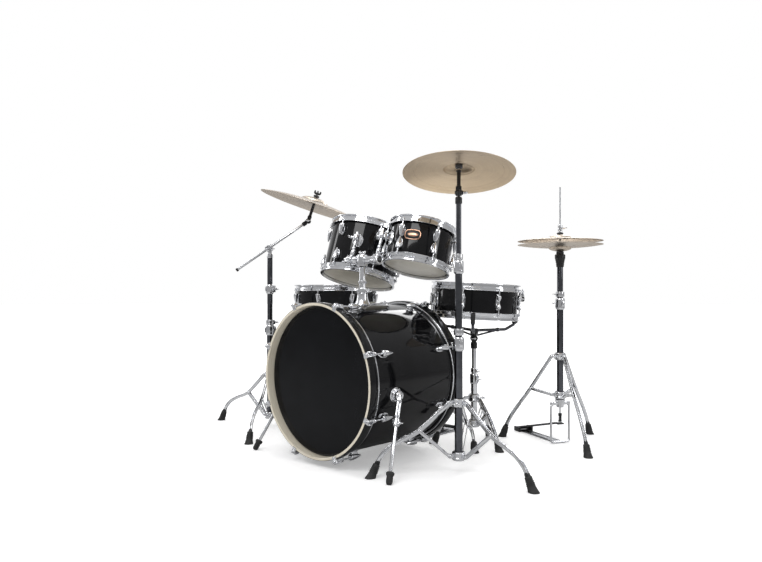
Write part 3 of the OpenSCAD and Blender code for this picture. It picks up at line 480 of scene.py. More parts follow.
def bronze_material(name, seed, pale):
    """Lathed and lightly hammered cymbal bronze. Z is the cymbal's axis."""
    g = Graph(name)
    r, x, y, z = g.radius()
    drift = g.noise(5.0, 3.0, 0.6)
    radial = g.node("ShaderNodeCombineXYZ")
    g.link(r, radial.inputs[0])
    radial.inputs[1].default_value = seed
    lines = g.noise(1400.0, 2.0, 0.7, at=radial.outputs[0])
    bands = g.noise(70.0, 4.0, 0.65, at=radial.outputs[0])
    dents = g.dents(46.0, 0.5)
    stain = g.noise(17.0, 5.0, 0.65)
    tone = g.ramp(bands, (0.50, 0.35, 0.20), (0.70, 0.56, 0.38), 0.3, 0.7)
    tone = g.mix(g.ramp(stain, 0.0, 0.5, 0.5, 0.78), tone, (0.38, 0.25, 0.14))
    tone = g.mix(g.ramp(lines, 0.0, 0.45, 0.4, 0.7), tone, (0.82, 0.70, 0.54))
    tone = g.mix(pale, tone, (0.84, 0.78, 0.71))
    rough = g.math("ADD", g.ramp(bands, 0.24, 0.36, 0.3, 0.7), g.ramp(drift, -0.04, 0.07))
    normal = g.bump(dents, 0.0010, 0.32, g.bump(lines, 0.00008, 0.85, g.bump(bands, 0.0005, 0.35)))
    mat = g.set(Base_Color=tone, Metallic=1.0, Roughness=rough, Normal=normal)
    tangent = g.node("ShaderNodeTangent", direction_type="RADIAL", axis="Z")
    g.link(tangent.outputs[0], g.bsdf.inputs["Tangent"])
    g.bsdf.inputs["Anisotropic"].default_value = 0.72
    return mat


def rubber_material(name):
    g = Graph(name)
    tone = 0.018
    grain = g.noise(420.0, 4.0, 0.6)
    scuff = g.noise(35.0, 5.0, 0.7)
    base = g.ramp(scuff, (tone,) * 3, (tone * 2.6, tone * 2.6, tone * 2.7), 0.45, 0.85)
    return g.set(Base_Color=base, Roughness=g.ramp(scuff, 0.5, 0.8),
                 Normal=g.bump(grain, 0.00022, 0.55))


def casting_material(name):
    g = Graph(name)
    grain = g.noise(600.0, 3.0, 0.6)
    scuff = g.noise(45.0, 5.0, 0.7)
    base = g.ramp(scuff, (0.010, 0.010, 0.011), (0.035, 0.035, 0.038), 0.5, 0.9)
    return g.set(Base_Color=base, Roughness=g.ramp(grain, 0.24, 0.42),
                 Normal=g.bump(grain, 0.00008, 0.5))


def felt_material(name, low, high):
    g = Graph(name)
    fibre = g.noise(850.0, 6.0, 0.75, stretch=(1.0, 1.0, 0.35))
    tuft = g.noise(160.0, 4.0, 0.7)
    mat = g.set(Base_Color=g.ramp(fibre, low, high, 0.3, 0.7), Roughness=g.ramp(tuft, 0.86, 1.0),
                Normal=g.bump(fibre, 0.0005, 0.8, g.bump(tuft, 0.0009, 0.5)))
    g.bsdf.inputs["Sheen Weight"].default_value = 0.35
    g.bsdf.inputs["Sheen Roughness"].default_value = 0.5
    return mat


def copper_material(name):
    g = Graph(name)
    brush = g.noise(500.0, 3.0, 0.6, stretch=(1.0, 0.05, 1.0))
    stain = g.noise(70.0, 4.0, 0.6)
    return g.set(Base_Color=g.ramp(stain, (0.62, 0.34, 0.22), (0.86, 0.55, 0.40), 0.3, 0.7),
                 Metallic=1.0, Roughness=g.ramp(brush, 0.22, 0.42),
                 Normal=g.bump(brush, 0.00005, 0.5))


CHROME = chrome_material("chrome_plate")
STEEL = chrome_material("plain_steel", (0.50, 0.51, 0.53), (0.34, 0.35, 0.37), (0.2, 0.36))
SMOKE = chrome_material("smoked_tube", (0.14, 0.145, 0.16), (0.095, 0.098, 0.11), (0.04, 0.10))
LACQUER = lacquer_material("black_lacquer")
MAPLE = maple_material("maple_ply")
FILM = film_material("drum_film", (0.60, 0.555, 0.46), (0.76, 0.72, 0.62), (0.26, 0.4), 0.25)
COATED = film_material("coated_film", (0.74, 0.73, 0.70), (0.85, 0.84, 0.81), (0.5, 0.7), 0.0,
                       1100.0, 0.0002)
BLACK_FILM = film_material("black_film", (0.0035, 0.0038, 0.0046), (0.006, 0.0065, 0.0078),
                           (0.10, 0.17), 0.0)
BLACK_FILM.node_tree.nodes["Principled BSDF"].inputs["Specular IOR Level"].default_value = 0.14
BRONZES = [bronze_material(f"cymbal_bronze_{k}", 3.1 * k + 1.7, 0.1 if k == 0 else 0.55)
           for k in range(4)]
RUBBER = rubber_material("foot_rubber")
CASTING = casting_material("black_casting")
BLACK_FELT = felt_material("black_felt", (0.012, 0.012, 0.013), (0.05, 0.05, 0.052))
WHITE_FELT = felt_material("white_felt", (0.62, 0.60, 0.55), (0.86, 0.84, 0.79))
COPPER = copper_material("copper_badge")


# ---------------------------------------------------------------- camera, light and floor
camera = bpy.data.objects.new("camera", bpy.data.cameras.new("camera"))
scene.collection.objects.link(camera)
camera.location = (2.066, -2.321, 0.654)
camera.rotation_euler = (math.radians(90), 0, math.radians(VIEW_TURN))
camera.data.lens = 32.6
camera.data.sensor_width = 36.0
camera.data.shift_y = 0.0118
scene.camera = camera

for name, where, look, size, power in (
    ("key_box", (1.2, -3.4, 3.6), (0, 0, 0.5), (2.4, 1.4), 64.0),
    ("side_box", (3.6, 0.9, 2.0), (0, 0, 0.6), (0.5, 2.6), 20.0),
    ("left_box", (-3.4, -1.6, 2.2), (0, 0, 0.6), (0.6, 2.8), 22.0),
    ("back_box", (-0.6, 3.6, 3.0), (0, 0, 0.6), (3.0, 0.9), 36.0),
    ("top_box", (0.0, 0.0, 4.4), (0, 0, 0), (2.2, 2.2), 56.0),
):
    lamp = bpy.data.lights.new(name, "AREA")
    lamp.shape, lamp.size, lamp.size_y, lamp.energy = "RECTANGLE", *size, power
    obj = bpy.data.objects.new(name, lamp)
    scene.collection.objects.link(obj)
    obj.location = where
    obj.rotation_euler = (Vector(look) - Vector(where)).to_track_quat("-Z", "Y").to_euler()
    obj.visible_camera = False

world = bpy.data.worlds.new("studio")
scene.world = world
world.use_nodes = True
tree = world.node_tree
tree.nodes.clear()


def wnode(kind, **values):
    n = tree.nodes.new("ShaderNode" + kind)
    for k, v in values.items():
        setattr(n, k, v)
    return n


sky_out, sky_mix = wnode("OutputWorld"), wnode("MixShader")
seen, room = wnode("Background"), wnode("Background")
where, split, ramp = wnode("TexCoord"), wnode("SeparateXYZ"), wnode("ValToRGB")
seen.inputs["Color"].default_value = (1.0, 1.0, 1.0, 1)
seen.inputs["Strength"].default_value = 1.0
stops = ramp.color_ramp.elements
for pos, level in ((0.0, 0.04), (0.48, 0.04), (0.53, 0.015), (0.64, 0.02), (0.76, 0.10), (0.88, 0.40)):
    stop = stops.new(pos) if pos else stops[0]
    stop.color = (level, level, level * 1.01, 1)
# The stop made at 0.48 is moved to the top, and keeps its place in the list
stops[1].position = 1.0
stops[1].color = (0.6, 0.6, 0.6 * 1.01, 1)
half = wnode("Math", operation="MULTIPLY_ADD")
half.inputs[1].default_value = half.inputs[2].default_value = 0.5
behind = wnode("VectorMath", operation="DOT_PRODUCT")
behind.inputs[1].default_value = (-0.685, 0.729, 0.0)
backdrop, lift = wnode("MapRange"), wnode("MixRGB")
backdrop.inputs["From Min"].default_value = 0.55
backdrop.inputs["From Max"].default_value = 0.75
lift.inputs["Color2"].default_value = (0.8, 0.8, 0.81, 1)
for a, b in ((where.outputs["Generated"], split.inputs[0]),
             (where.outputs["Generated"], behind.inputs[0]),
             (behind.outputs["Value"], backdrop.inputs["Value"]),
             (split.outputs["Z"], half.inputs[0]),
             (half.outputs[0], ramp.inputs["Fac"]),
             (backdrop.outputs["Result"], lift.inputs["Fac"]),
             (ramp.outputs["Color"], lift.inputs["Color1"]),
             (lift.outputs["Color"], room.inputs["Color"]),
             (wnode("LightPath").outputs["Is Camera Ray"], sky_mix.inputs[0]),
             (room.outputs[0], sky_mix.inputs[1]),
             (seen.outputs[0], sky_mix.inputs[2]),
             (sky_mix.outputs[0], sky_out.inputs["Surface"])):
    tree.links.new(a, b)

# The floor fades into the white seen behind it, and is darker to what mirrors it
floor_mat = Graph("studio_floor")
distance = floor_mat.radius()[0]
seen_ray = floor_mat.node("ShaderNodeLightPath").outputs["Is Camera Ray"]
mirrored = floor_mat.node("ShaderNodeLightPath").outputs["Is Glossy Ray"]
far = floor_mat.ramp(distance, 0.32, 1.0, 1.1, 3.4)
floor_mat.set(Base_Color=floor_mat.mix(mirrored, (0.94, 0.94, 0.94), (0.52, 0.52, 0.52)),
              Roughness=floor_mat.ramp(distance, 0.55, 0.8, 0.0, 4.0), Specular_IOR_Level=0.1,
              Emission_Color=(1.0, 1.0, 1.0),
              Emission_Strength=floor_mat.math("MULTIPLY", far, seen_ray))
mesh = bpy.data.meshes.new("studio_floor")
verts, faces = lathe([(0, 0), (30, 0)])
mesh.from_pydata(verts, [], faces)
mesh.materials.append(floor_mat.mat)
floor = bpy.data.objects.new("studio_floor", mesh)
scene.collection.objects.link(floor)
floor.location = (0, 0, -0.0005)
scene.view_settings.view_transform = "Standard"


# ---------------------------------------------------------------- small hardware
def arc(cx, cy, r, start, turn, count):
    """Points along part of a circle, with both its ends."""
    angles = [math.radians(start + turn * k / count) for k in range(count + 1)]
    return [(cx + r * math.cos(a), cy + r * math.sin(a)) for a in angles]


def ellipse(a, b, n=36):
    return [(a * math.cos(2 * math.pi * k / n), b * math.sin(2 * math.pi * k / n)) for k in range(n)]


def rounded_rect(w, h, r):
    x, y = w / 2 - r, h / 2 - r
    corners = ((x, y, 0), (-x, y, 90), (-x, -y, 180), (x, -y, 270))
    return [p for cx, cy, start in corners for p in arc(cx, cy, r, start, 90, 5)]


def wing_nut(span=26.0, thick=4.6, hub=6.0, high=10.0):
    """Hub and two ears; the bolt comes up along +Z."""
    s = Shape()
    s.add(turned([(0, 0), (hub, 0), (hub * 0.86, high * 0.72), (hub * 0.5, high), (0, high)], 1.2, 24))
    lobe = 5.4
    ear = arc(span / 2 - lobe * 0.55, high * 0.92, lobe, -70, 200, 12)
    ear += [(hub * 0.3, high * 0.78), (hub * 0.3, 1.2), (hub * 1.25, 1.4)]
    for side in BOTH:
        s.add(plate([(side * x, z) for x, z in ear], thick, thick * 0.42), ON_EDGE)
    return s


def wing_bolt(length, span=26.0):
    """Screw along +X from x = 0 with its wing head."""
    return Shape().add(rod((0, 0, 0), (length + 2, 0, 0), 3.5, 0.4, 18)).add(
        wing_nut(span), T(length, 0, 0) @ FACE_OUT)


def rivet(r, high):
    return lathe([(0, -0.2), (r, -0.2), (r, 0.15 * high), (r * 0.86, 0.6 * high), (r * 0.5, 0.92 * high),
                  (0, high)], 20)


def hex_nut(across, high):
    r = across / math.sqrt(3)
    return moved(plate(arc(0, 0, r, 0, 300, 5), high, 0.6), T(0, 0, high / 2))


def teardrop(length, fat):
    """Single-ended lug body: a round shoulder with the rod's socket, then a long taper."""
    pts = [(0, 1.4), (2.9, 1.4), (3.1, 0.0), (fat * 0.55, 0.0)]
    for a in range(15, 91, 15):
        a = math.radians(a)
        pts.append((fat * (0.55 + 0.45 * math.sin(a)), 4.6 - 4.6 * math.cos(a)))
    for k in range(1, 13):
        u = k / 12
        pts.append((fat * (1 - 0.74 * u ** 1.8), 4.6 + (length - 8.5) * u))
    r, z = pts[-1]
    for a in (25, 50, 75):
        a = math.radians(a)
        pts.append((r * math.cos(a), z + r * 0.9 * math.sin(a)))
    return lathe(pts + [(0, pts[-1][1] + 0.05)], 40)


def flattened(part, x_min):
    """Presses whatever lies below x_min flat, as a casting sits on a shell."""
    return [(max(x, x_min), y, z) for x, y, z in part[0]], part[1]


def tension_rod(x, top, bottom):
    """Drum rod with its washer, flange and square drive head, pointing down."""
    s = Shape()
    s.add(z_rod(x, bottom, top, 2.7, 0.3, 16))
    s.add(ring(6.0, 2.6, top - 0.2, top + 1.0, 0.3, 24), T(x, 0, 0))
    s.add(turned([(0, top + 1), (5.4, top + 1), (5.0, top + 3.4), (0, top + 3.4)], 0.8, 24), T(x, 0, 0))
    s.add(block(5.4, 5.4, 6.4, 0.7), T(x, 0, top + 6.3) @ R(45, "Z"))
    return s


def stations(count, start):
    """The turns of a drum's lugs: all those of its top, then those of its bottom."""
    return [m @ R(start + 360 * k / count, "Z") for m in (I4, FLIP) for k in range(count)]


# ---------------------------------------------------------------- toms, floor tom and snare
ROD_OUT = 13.0  # a tension rod's axis stands this far out from the shell
WALL = 6.0


def drum(name, at, d, depth, lugs, start, vent, vent_z=0):
    """Shell with its air vent, both heads and both hoops."""
    r, e = d / 2, depth / 2
    s = Shape()
    s.add(bushing([(r - WALL, -e + 3.4), (r - WALL + 2.4, -e + 0.3), (r - 1.2, -e + 0.3), (r, -e + 1.5),
                   (r, e - 1.5), (r - 1.2, e - 0.3), (r - WALL + 2.4, e - 0.3), (r - WALL, e - 3.4)],
                  0.7, 160))
    emit(f"{name}_shell_wall", s, LACQUER, f"{name}_shell", at)
    s = Shape()
    s.add(bushing([(3.0, 0), (8.2, 0), (7.6, 1.7), (4.4, 2.3), (3.4, 1.9), (3.0, 0.6)], 0.5, 28),
          R(vent, "Z") @ T(r - 0.1, 0, vent_z) @ X_LINE)
    emit(f"{name}_shell_wall_vent", s, CHROME, f"{name}_shell", at)
    # The film is drawn over the bearing edge to its flesh hoop
    film = [(0, e + 0.75), (r * 0.5, e + 0.75), (r * 0.8, e + 0.75), (r - 9.5, e + 0.75), (r - 5, e + 0.55),
            (r - 2.2, e - 0.1), (r - 0.2, e - 1.3), (r + 1.0, e - 3.0), (r + 1.35, e - 5.5), (r + 1.4,
                    e - 7.2),
            (r + 0.7, e - 7.2), (r + 0.5, e - 3.4), (r - 0.8, e - 2.0), (r - 3, e - 0.9), (r - 6, e - 0.2),
            (r * 0.8, e), (0, e)]
    for (tag, m), material in zip(ENDS, (COATED, FILM)):
        emit(f"{name}_head_{tag}", Shape().add(lathe(film, 160), m), material, f"{name}_heads", at, sharp=60)
        hoop = Shape().add(ring(r + 6.1, r + 0.3, e - 11.8, e - 7.1, 1.4, 160), m)
        emit(f"{name}_head_{tag}_flesh_hoop", hoop, STEEL, f"{name}_heads", at)
    # Triple-flanged hoops: rolled top, flat collar and turned-out bottom flange with ears
    hoop = Shape()
    hoop.add(bushing([(r + 1.6, e - 6.9), (r + 7.0, e - 6.9), (r + 7.0, e - 18.6), (r + 12, e - 18.6),
                      (r + 12.0, e - 17.1), (r + 8.6, e - 17.1), (r + 8.6, e - 5.3), (r + 3.2, e - 5.3),
                      (r + 3.2, e + 9.1), (r + 8.4, e + 9.1), (r + 8.7, e + 6.6), (r + 10.1, e + 6.6),
                      (r + 10.1, e + 10.7), (r + 1.6, e + 10.7)], 1.5, 192))
    ear = arc(r + ROD_OUT - 0.8, 0, 6.6, -105, 210, 14)
    ear += [(r + 9.4, 10.5), (r + 8.8, 10.0), (r + 8.8, -10.0), (r + 9.4, -10.5)]
    hoop.around(plate(ear, 2.2, 0.8), lugs, start, T(0, 0, e - 17.9))
    for tag, m in ENDS:
        emit(f"{name}_hoop_{tag}", Shape().add(hoop, m), CHROME, f"{name}_hoops", at, sharp=40)


def lug_pieces(name, at, d, depth, count, start):
    """Single-ended lugs with the rods that pull the hoops to them."""
    r, e = d / 2, depth / 2
    drop, length, fat = 33.0, 50.0, 11.5
    bodies, rods, lug = shapes(3)
    lug.add(flattened(moved(teardrop(length, fat), T(r + ROD_OUT - 1, 0, e - drop) @ FLIP), r + 1.2))
    lug.add(plate(ellipse(fat * 0.78, length * 0.46), 2.2, 0.9),
            T(r + 0.7, 0, e - drop - length * 0.47) @ FACE_OUT)
    pull = tension_rod(r + ROD_OUT, e - 16.4, e - drop - 10)
    for turn in stations(count, start):
        bodies.add(lug, turn)
        rods.add(pull, turn)
    emit_set(f"{name}_lug", f"{name}_lugs", at, ("", bodies, CHROME), ("_rods", rods, CHROME))


def rod_bracket(name, node, at, d, turn, z, bore_off, plate_r, bore_r=5.6):
    """Oval plate with the split clamp block that grips a rod, and its wing bolt."""
    r = d / 2
    s = Shape()
    out = R(turn, "Z")
    face = out @ T(r, 0, z) @ FACE_OUT
    s.add(plate(ellipse(plate_r * 0.92, plate_r * 1.12, 48), 5.0, 2.0), face @ T(0, 0, 2.2))
    s.add(plate(ellipse(plate_r * 0.66, plate_r * 0.86, 40), 4.0, 1.8), face @ T(0, 0, 5.6))
    for v in BOTH:
        s.add(rivet(4.0, 2.2), face @ T(0, v * plate_r * 0.93, 4.4))
    s.add(block(bore_off - 6, 17, 24, 3.4), out @ T(r + 3 + (bore_off - 6) / 2, 0, z))
    s.add(bushing([(bore_r + 0.1, -13), (bore_r + 6.6, -13), (bore_r + 6.6, 13), (bore_r + 0.1, 13)],
                  1.6, 36), out @ T(r + bore_off, 0, z))
    s.add(wing_bolt(13, 25), out @ T(r + bore_off - 3, -7, z) @ R(-90, "Z"))
    emit(name, s, CHROME, node, at)


def badge(name, at, d, turn, z):
    """Blank plate with cut corners and a raised rim."""
    face = R(turn, "Z") @ T(d / 2 + 0.1, 0, z) @ FACE_OUT
    quarter = [(33, 8), (26, 18), (9, 20.5)]
    left = [(-x, y) for x, y in quarter[::-1]]
    corners = (quarter + left + [(x, -y) for x, y in left[::-1] + quarter[::-1]])[::-1]
    dark = Shape()
    dark.add(plate([(0.9 * x, 0.88 * y) for x, y in corners], 1.1, 0.4), face @ T(0, 0, 0.2))
    emit(f"{name}_badge_field", dark, CASTING, f"{name}_lugs", at, slot=None)
    edge = [Vector((x * 0.93, y * 0.93, 1.2)) for x, y in corners]
    edge = [p.lerp(q, t / 4) for p, q in zip(edge, edge[1:] + edge[:1]) for t in range(4)]
    s = Shape()
    s.add(sweep(edge, 1.9, 8, True), face)
    s.add(plate(ellipse(21, 7.5), 1.6, 0.6), face @ T(0, 0, 1.0))
    emit(f"{name}_badge", s, COPPER, f"{name}_lugs", at)


HIGH_TOM, MID_TOM = (150, 170, 822.5), (-175, 175, 811)
HIGH_D, MID_D, FLOOR_D, SNARE_D = 254, 305, 406, 356
HIGH_TURN, MID_TURN = -114.1, -55.3  # where each tom's bracket is, about its own axis
ARM_OUT, LEG_OUT = 42, 24  # how far a tom's arm and a floor tom's leg stand from the shell

for name, middle, d, depth, turn, vent, z, badge_turn in (
    ("high_tom", HIGH_TOM, HIGH_D, 165, HIGH_TURN, 40, 2, 50),
    ("mid_tom", MID_TOM, MID_D, 222, MID_TURN, 60, 10, 60),
):
    at = place(*middle) @ R(-TOM_LEAN, "X")
    drum(name, at, d, depth, 6, turn + 30, vent)
    lug_pieces(name, at, d, depth, 6, turn + 30)
    rod_bracket(f"{name}_bracket", f"{name}_lugs", at, d, turn, z, ARM_OUT, 25)
    badge(name, at, d, turn + badge_turn, 12)

floor_at = place(-647, 459, 474)
drum("floor_tom", floor_at, FLOOR_D, 390, 8, 22.5, -22, 60)
lug_pieces("floor_tom", floor_at, FLOOR_D, 390, 8, 22.5)
badge("floor_tom", floor_at, FLOOR_D, 300, 30)
for k in range(3):
    rod_bracket(f"floor_tom_bracket_{k + 1}", "floor_tom_lugs", floor_at, FLOOR_D, 90 + 120 * k, -70,
                LEG_OUT, 22, 5.5)
legs, feet = shapes(2)
x = FLOOR_D // 2 + LEG_OUT
for k in range(3):
    turn = R(90 + 120 * k, "Z")
    legs.add(bent_bar([(x, 0, 494), (x, 0, 120), (x + 34, 0, 62), (x + 34, 0, 24)], 26, 8, 5.5), turn)
    legs.add(lathe([(0, 494), (5.5, 494), (4.4, 497), (0, 498)], 18), turn @ T(x, 0, -4))
    for z in range(250, 314, 16):
        legs.add(ring(5.9, 5.2, z, z + 3, 0.4, 18), turn @ T(x, 0, 0))
    foot_at = turn @ T(x + 34, 0, 0)
    feet.add(turned([(5.6, 24), (5.6, 46), (9, 46), (10.4, 43), (11.6, 30), (14.5, 12), (16, 8), (16, 1.2),
                     (15, 0), (0, 0), (0, 24)], 1.2, 32), foot_at)
    for z in (16, 22, 28, 34):
        feet.add(ring(14.4 - z * 0.1, 9, z, z + 2.6, 0.8, 32), foot_at)
emit_set("floor_tom_leg", "floor_tom_legs", place(-647, 459), ("_rods", legs, CHROME),
         ("_feet", feet, RUBBER))

SNARE_TILT = 3
snare_at = place(212, 456, 533) @ R(VIEW_TURN, "Z") @ R(SNARE_TILT, "Y") @ T(0, 0, 74.5)
drum("snare", snare_at, SNARE_D, 127, 8, 22.5, 47)
lugs, rods = shapes(2)
for k in range(8):
    turn = R(22.5 + 45 * k, "Z")
    for m in (I4, FLIP):
        lugs.add(flattened(moved(teardrop(28, 9.5), T(190, 0, 27) @ FLIP), 179.2), turn @ m)
        rods.add(tension_rod(191, 47.1, 12), turn @ m)
    lugs.add(plate(ellipse(7.4, 33), 2.4, 0.9), turn @ T(178.6, 0, 0) @ FACE_OUT)
    lugs.add(z_rod(190, -5, 5, 4.2, 1.4, 20), turn)
emit_set("snare_lug", "snare_lugs", snare_at, ("", lugs, CHROME), ("_rods", rods, CHROME))

# Snare strainer with its throw lever, and the butt plate opposite
throw, butt = R(-8, "Z"), R(172, "Z")
s = Shape()
s.add(block(11, 27, 60, 3.0), throw @ T(184, 0, 3))
for v in BOTH:
    s.add(plate(rounded_rect(19, 20, 5), 4.6, 1.2), throw @ T(196.5, v * 9.5, 18) @ ON_EDGE)
s.add(block(14, 22, 12, 2.4), throw @ T(187, 0, -24))
emit("snare_strainer_body", s, CASTING, "snare_lugs", snare_at)
s = Shape()
s.add(turned([(0, 0), (6.5, 0), (6.5, 9), (5.4, 10.5), (0, 10.5)], 0.8, 24), throw @ T(189, 0, 33))
for k in range(12):
    s.add(block(1.2, 1.2, 8, 0.4), throw @ T(189, 0, 38) @ R(30 * k, "Z") @ T(6.5, 0, 0))
for v in (-7, 7):
    s.add(rivet(2.6, 1.6), throw @ T(194, v, -24) @ X_LINE)
s.add(block(12, 25, 38, 3.0), butt @ T(184, 0, -6))
s.add(block(14, 20, 9, 2.0), butt @ T(187, 0, -24))
for v in (-7, 7):
    s.add(rivet(2.6, 1.6), butt @ T(194, v, -24) @ X_LINE)
emit("snare_strainer_trim", s, CHROME, "snare_lugs", snare_at)
s = Shape()
outline = [(193, 16), (199, 12), (205, 15), (206.5, 24), (203, 44), (200.6, 58), (198.5, 61.6), (196, 61),
           (194.4, 56), (193.2, 30)]
outline = soft([(p[0] + 0.4, p[1]) for p in outline], 3.0, True, 3)
s.add(plate(outline, 11, 2.6), throw @ ON_EDGE)
s.add(rod((198, -12.6, 18), (198, 12.6, 18), 2.9, 0.5, 20), throw)
for v in BOTH:
    s.add(rivet(4.6, 1.6), throw @ T(198, v * 12, 18) @ R(-90 * v, "X"))
emit("snare_throw_handle", s, CHROME, "snare_throw_lever", snare_at)
s = Shape()
strand = helix(0.62, 0, 238, 70, 0.34, 5, 6)
for k in range(20):
    s.add(strand, throw @ T(-119, (k - 9.5) * 2.0, -65.9) @ X_LINE)
for v in BOTH:
    s.add(plate(rounded_rect(14, 42, 2), 1.4, 0.4), throw @ T(v * 127, 0, -65.9))
emit("snare_wire_strands", s, STEEL, "snare_wires", snare_at)
s = Shape()
for v in BOTH:
    s.add(plate([(0, -9), (46, -9), (46, 9), (0, 9)], 0.5, 0.2),
          throw @ R(90 - 90 * v, "Z") @ T(134, 0, -66.2))
emit("snare_wire_straps", s, FILM, "snare_wires", snare_at)


# ---------------------------------------------------------------- bass drum
BASS_Z = 315
bass_at = place(0, 0, BASS_Z) @ ON_EDGE
BR, BE = 279.5, 228.5  # radius, and half the depth
HOOP_START = BE - 9
HOOP_END = HOOP_START + 40
POST_Y = -4.8  # the tom post's axis
s = Shape()
s.add(bushing([(BR - 7, -BE + 4), (BR - 4.5, -BE + 0.3), (BR - 1.4, -BE + 0.3), (BR, -BE + 1.8),
               (BR, BE - 1.8), (BR - 1.4, BE - 0.3), (BR - 4.5, BE - 0.3), (BR - 7, BE - 4)], 0.8, 256))
emit("bass_shell_wall", s, LACQUER, "bass_shell", bass_at)
for tag, m in (("front", I4), ("rear", FLIP)):
    outer = Shape()
    outer.add(lathe([(288.4, HOOP_START), (291.6, HOOP_START), (292.6, HOOP_START + 0.5),
                     (293, HOOP_START + 1.6), (293, HOOP_END - 2.2), (292.7, HOOP_END - 1.1),
                     (292.0, HOOP_END - 0.5), (291.2, HOOP_END - 0.35), (288.4, HOOP_END - 0.35)], 256, True),
              m)
    emit(f"bass_hoop_{tag}_lacquer", outer, LACQUER, "bass_hoops", bass_at, "hoop_lacquer")
    inner = Shape()
    inner.add(bushing([(281.5, HOOP_START), (288.5, HOOP_START), (288.5, HOOP_END - 0.35),
                       (291.4, HOOP_END - 0.35), (290.6, HOOP_END), (281.5, HOOP_END)], 1.5, 256), m)
    emit(f"bass_hoop_{tag}_ply", inner, MAPLE, "bass_hoops", bass_at, "hoop_lacquer")
    film = Shape()
    film.add(lathe([(0, BE + 0.75), (140, BE + 0.75), (250, BE + 0.75), (263, BE + 0.7), (268.5, BE + 0.35),
                    (273, BE - 0.3), (277, BE - 1.2), (279.8, BE - 3.0), (280.8, BE - 6), (280.85, BE - 9.2),
                    (280.0, BE - 9.2), (279.9, BE - 6.2), (278.8, BE - 3.6), (276, BE - 2.0), (270, BE - 0.7),
                    (262, BE), (140, BE), (0, BE)], 256), m)
    emit(f"bass_head_{tag}_film", film, BLACK_FILM, "bass_heads", bass_at, sharp=60)
    flesh = Shape()
    flesh.add(ring(289.4, 280.2, BE - 17.9, BE - 9.2, 1.6, 256), m)
    emit(f"bass_head_{tag}_flesh_hoop", flesh, CHROME, "bass_heads", bass_at)

FOOT = BE - 92  # foot of the lugs
lug = Shape()
lug.add(moved(teardrop(58, 12), T(300, 0, FOOT + 50) @ FLIP))
lug.add(block(14, 12.5, 32, 3.2), T(287, 0, FOOT + 25))
lug.add(plate(ellipse(10.5, 24), 3.0, 1.2), T(BR + 1.3, 0, FOOT + 25) @ FACE_OUT)
claw, pull, pad = shapes(3)
hook = [(0, 4.2), (24.2, 4.2), (27.4, 1.5), (28.6, -4), (28.6, -14), (20, -27), (14.0, -37.4), (10.6, -37.4),
        (10.2, -31), (9.3, -1.0), (8.2, 0.15), (0, 0.15)]
for y in (-7.6, 7.6):
    claw.add(plate(soft(hook, 1.6, True, 2), 4.2, 0.9), T(283.9, y, HOOP_END) @ ON_EDGE)
claw.add(block(24.0, 19, 3.9, 1.4), T(296.0, 0, HOOP_END + 2.2))
claw.add(block(3.6, 19, 33, 1.2), T(295.1, 0, HOOP_END - 17.5))
claw.add(bushing([(3.2, HOOP_START + 4), (7.6, HOOP_START + 4), (8.6, HOOP_START + 14),
                  (8.6, HOOP_START + 20), (3.2, HOOP_START + 20)], 1.6, 28), T(302, 0, 0))
claw.add(bushing([(3.2, HOOP_END + 3.5), (8.4, HOOP_END + 3.5), (7.2, HOOP_END + 7.5), (3.2, HOOP_END + 7.5)],
                 0.8, 28), T(302, 0, 0))
pull.add(z_rod(302, BE - 64, HOOP_END + 9.2, 3.0, 0.4, 18))
pull.add(turned([(0, HOOP_END + 7.6), (5.6, HOOP_END + 7.6), (5.2, HOOP_END + 9.6), (0, HOOP_END + 9.6)], 0.6,
                24), T(302, 0, 0))
pull.add(block(5.4, 5.4, 5.2, 0.7), T(302, 0, HOOP_END + 12) @ R(45, "Z"))
pad.add(block(1.2, 18, 30, 0.5), T(293.7, 0, HOOP_END - 16))
bodies, claws, pulls, pads = shapes(4)
for turn in stations(8, 22.5):
    for shape, part in ((bodies, lug), (claws, claw), (pulls, pull), (pads, pad)):
        shape.add(part, turn)
emit("bass_lug_casting", bodies, CHROME, "bass_lugs", bass_at)
emit_set("bass_claw", "bass_claws", bass_at, ("_hook", claws, CHROME), ("_rod", pulls, CHROME),
         ("_pad", pads, RUBBER))

# Tom holder socket: saddle plate, flared trumpet, clamp collar; and the two spur hubs
kit = place(0, 0, 0)


def saddle(size, thick):
    """Round foot plate whose rings of faces follow the bass drum's shell."""
    rings, n = 7, 72
    verts, faces = [], []
    for k in range(rings + 1):
        u = k / rings
        high = thick * math.sqrt(max(0.0, 1 - u ** 6))
        r = BR + 0.25 + high
        for x, y in ellipse(size * max(u, 0.02), size * max(u, 0.02), n):
            a = x / BR
            verts.append((r * math.sin(a), POST_Y + y, BASS_Z + r * math.cos(a)))
    for k in range(rings):
        for i in range(n):
            j = (i + 1) % n
            faces.append((k * n + i, k * n + j, (k + 1) * n + j, (k + 1) * n + i))
    faces.append(tuple(range(n)))
    faces.append(tuple((rings * n + i) for i in range(n - 1, -1, -1)))
    return verts, faces


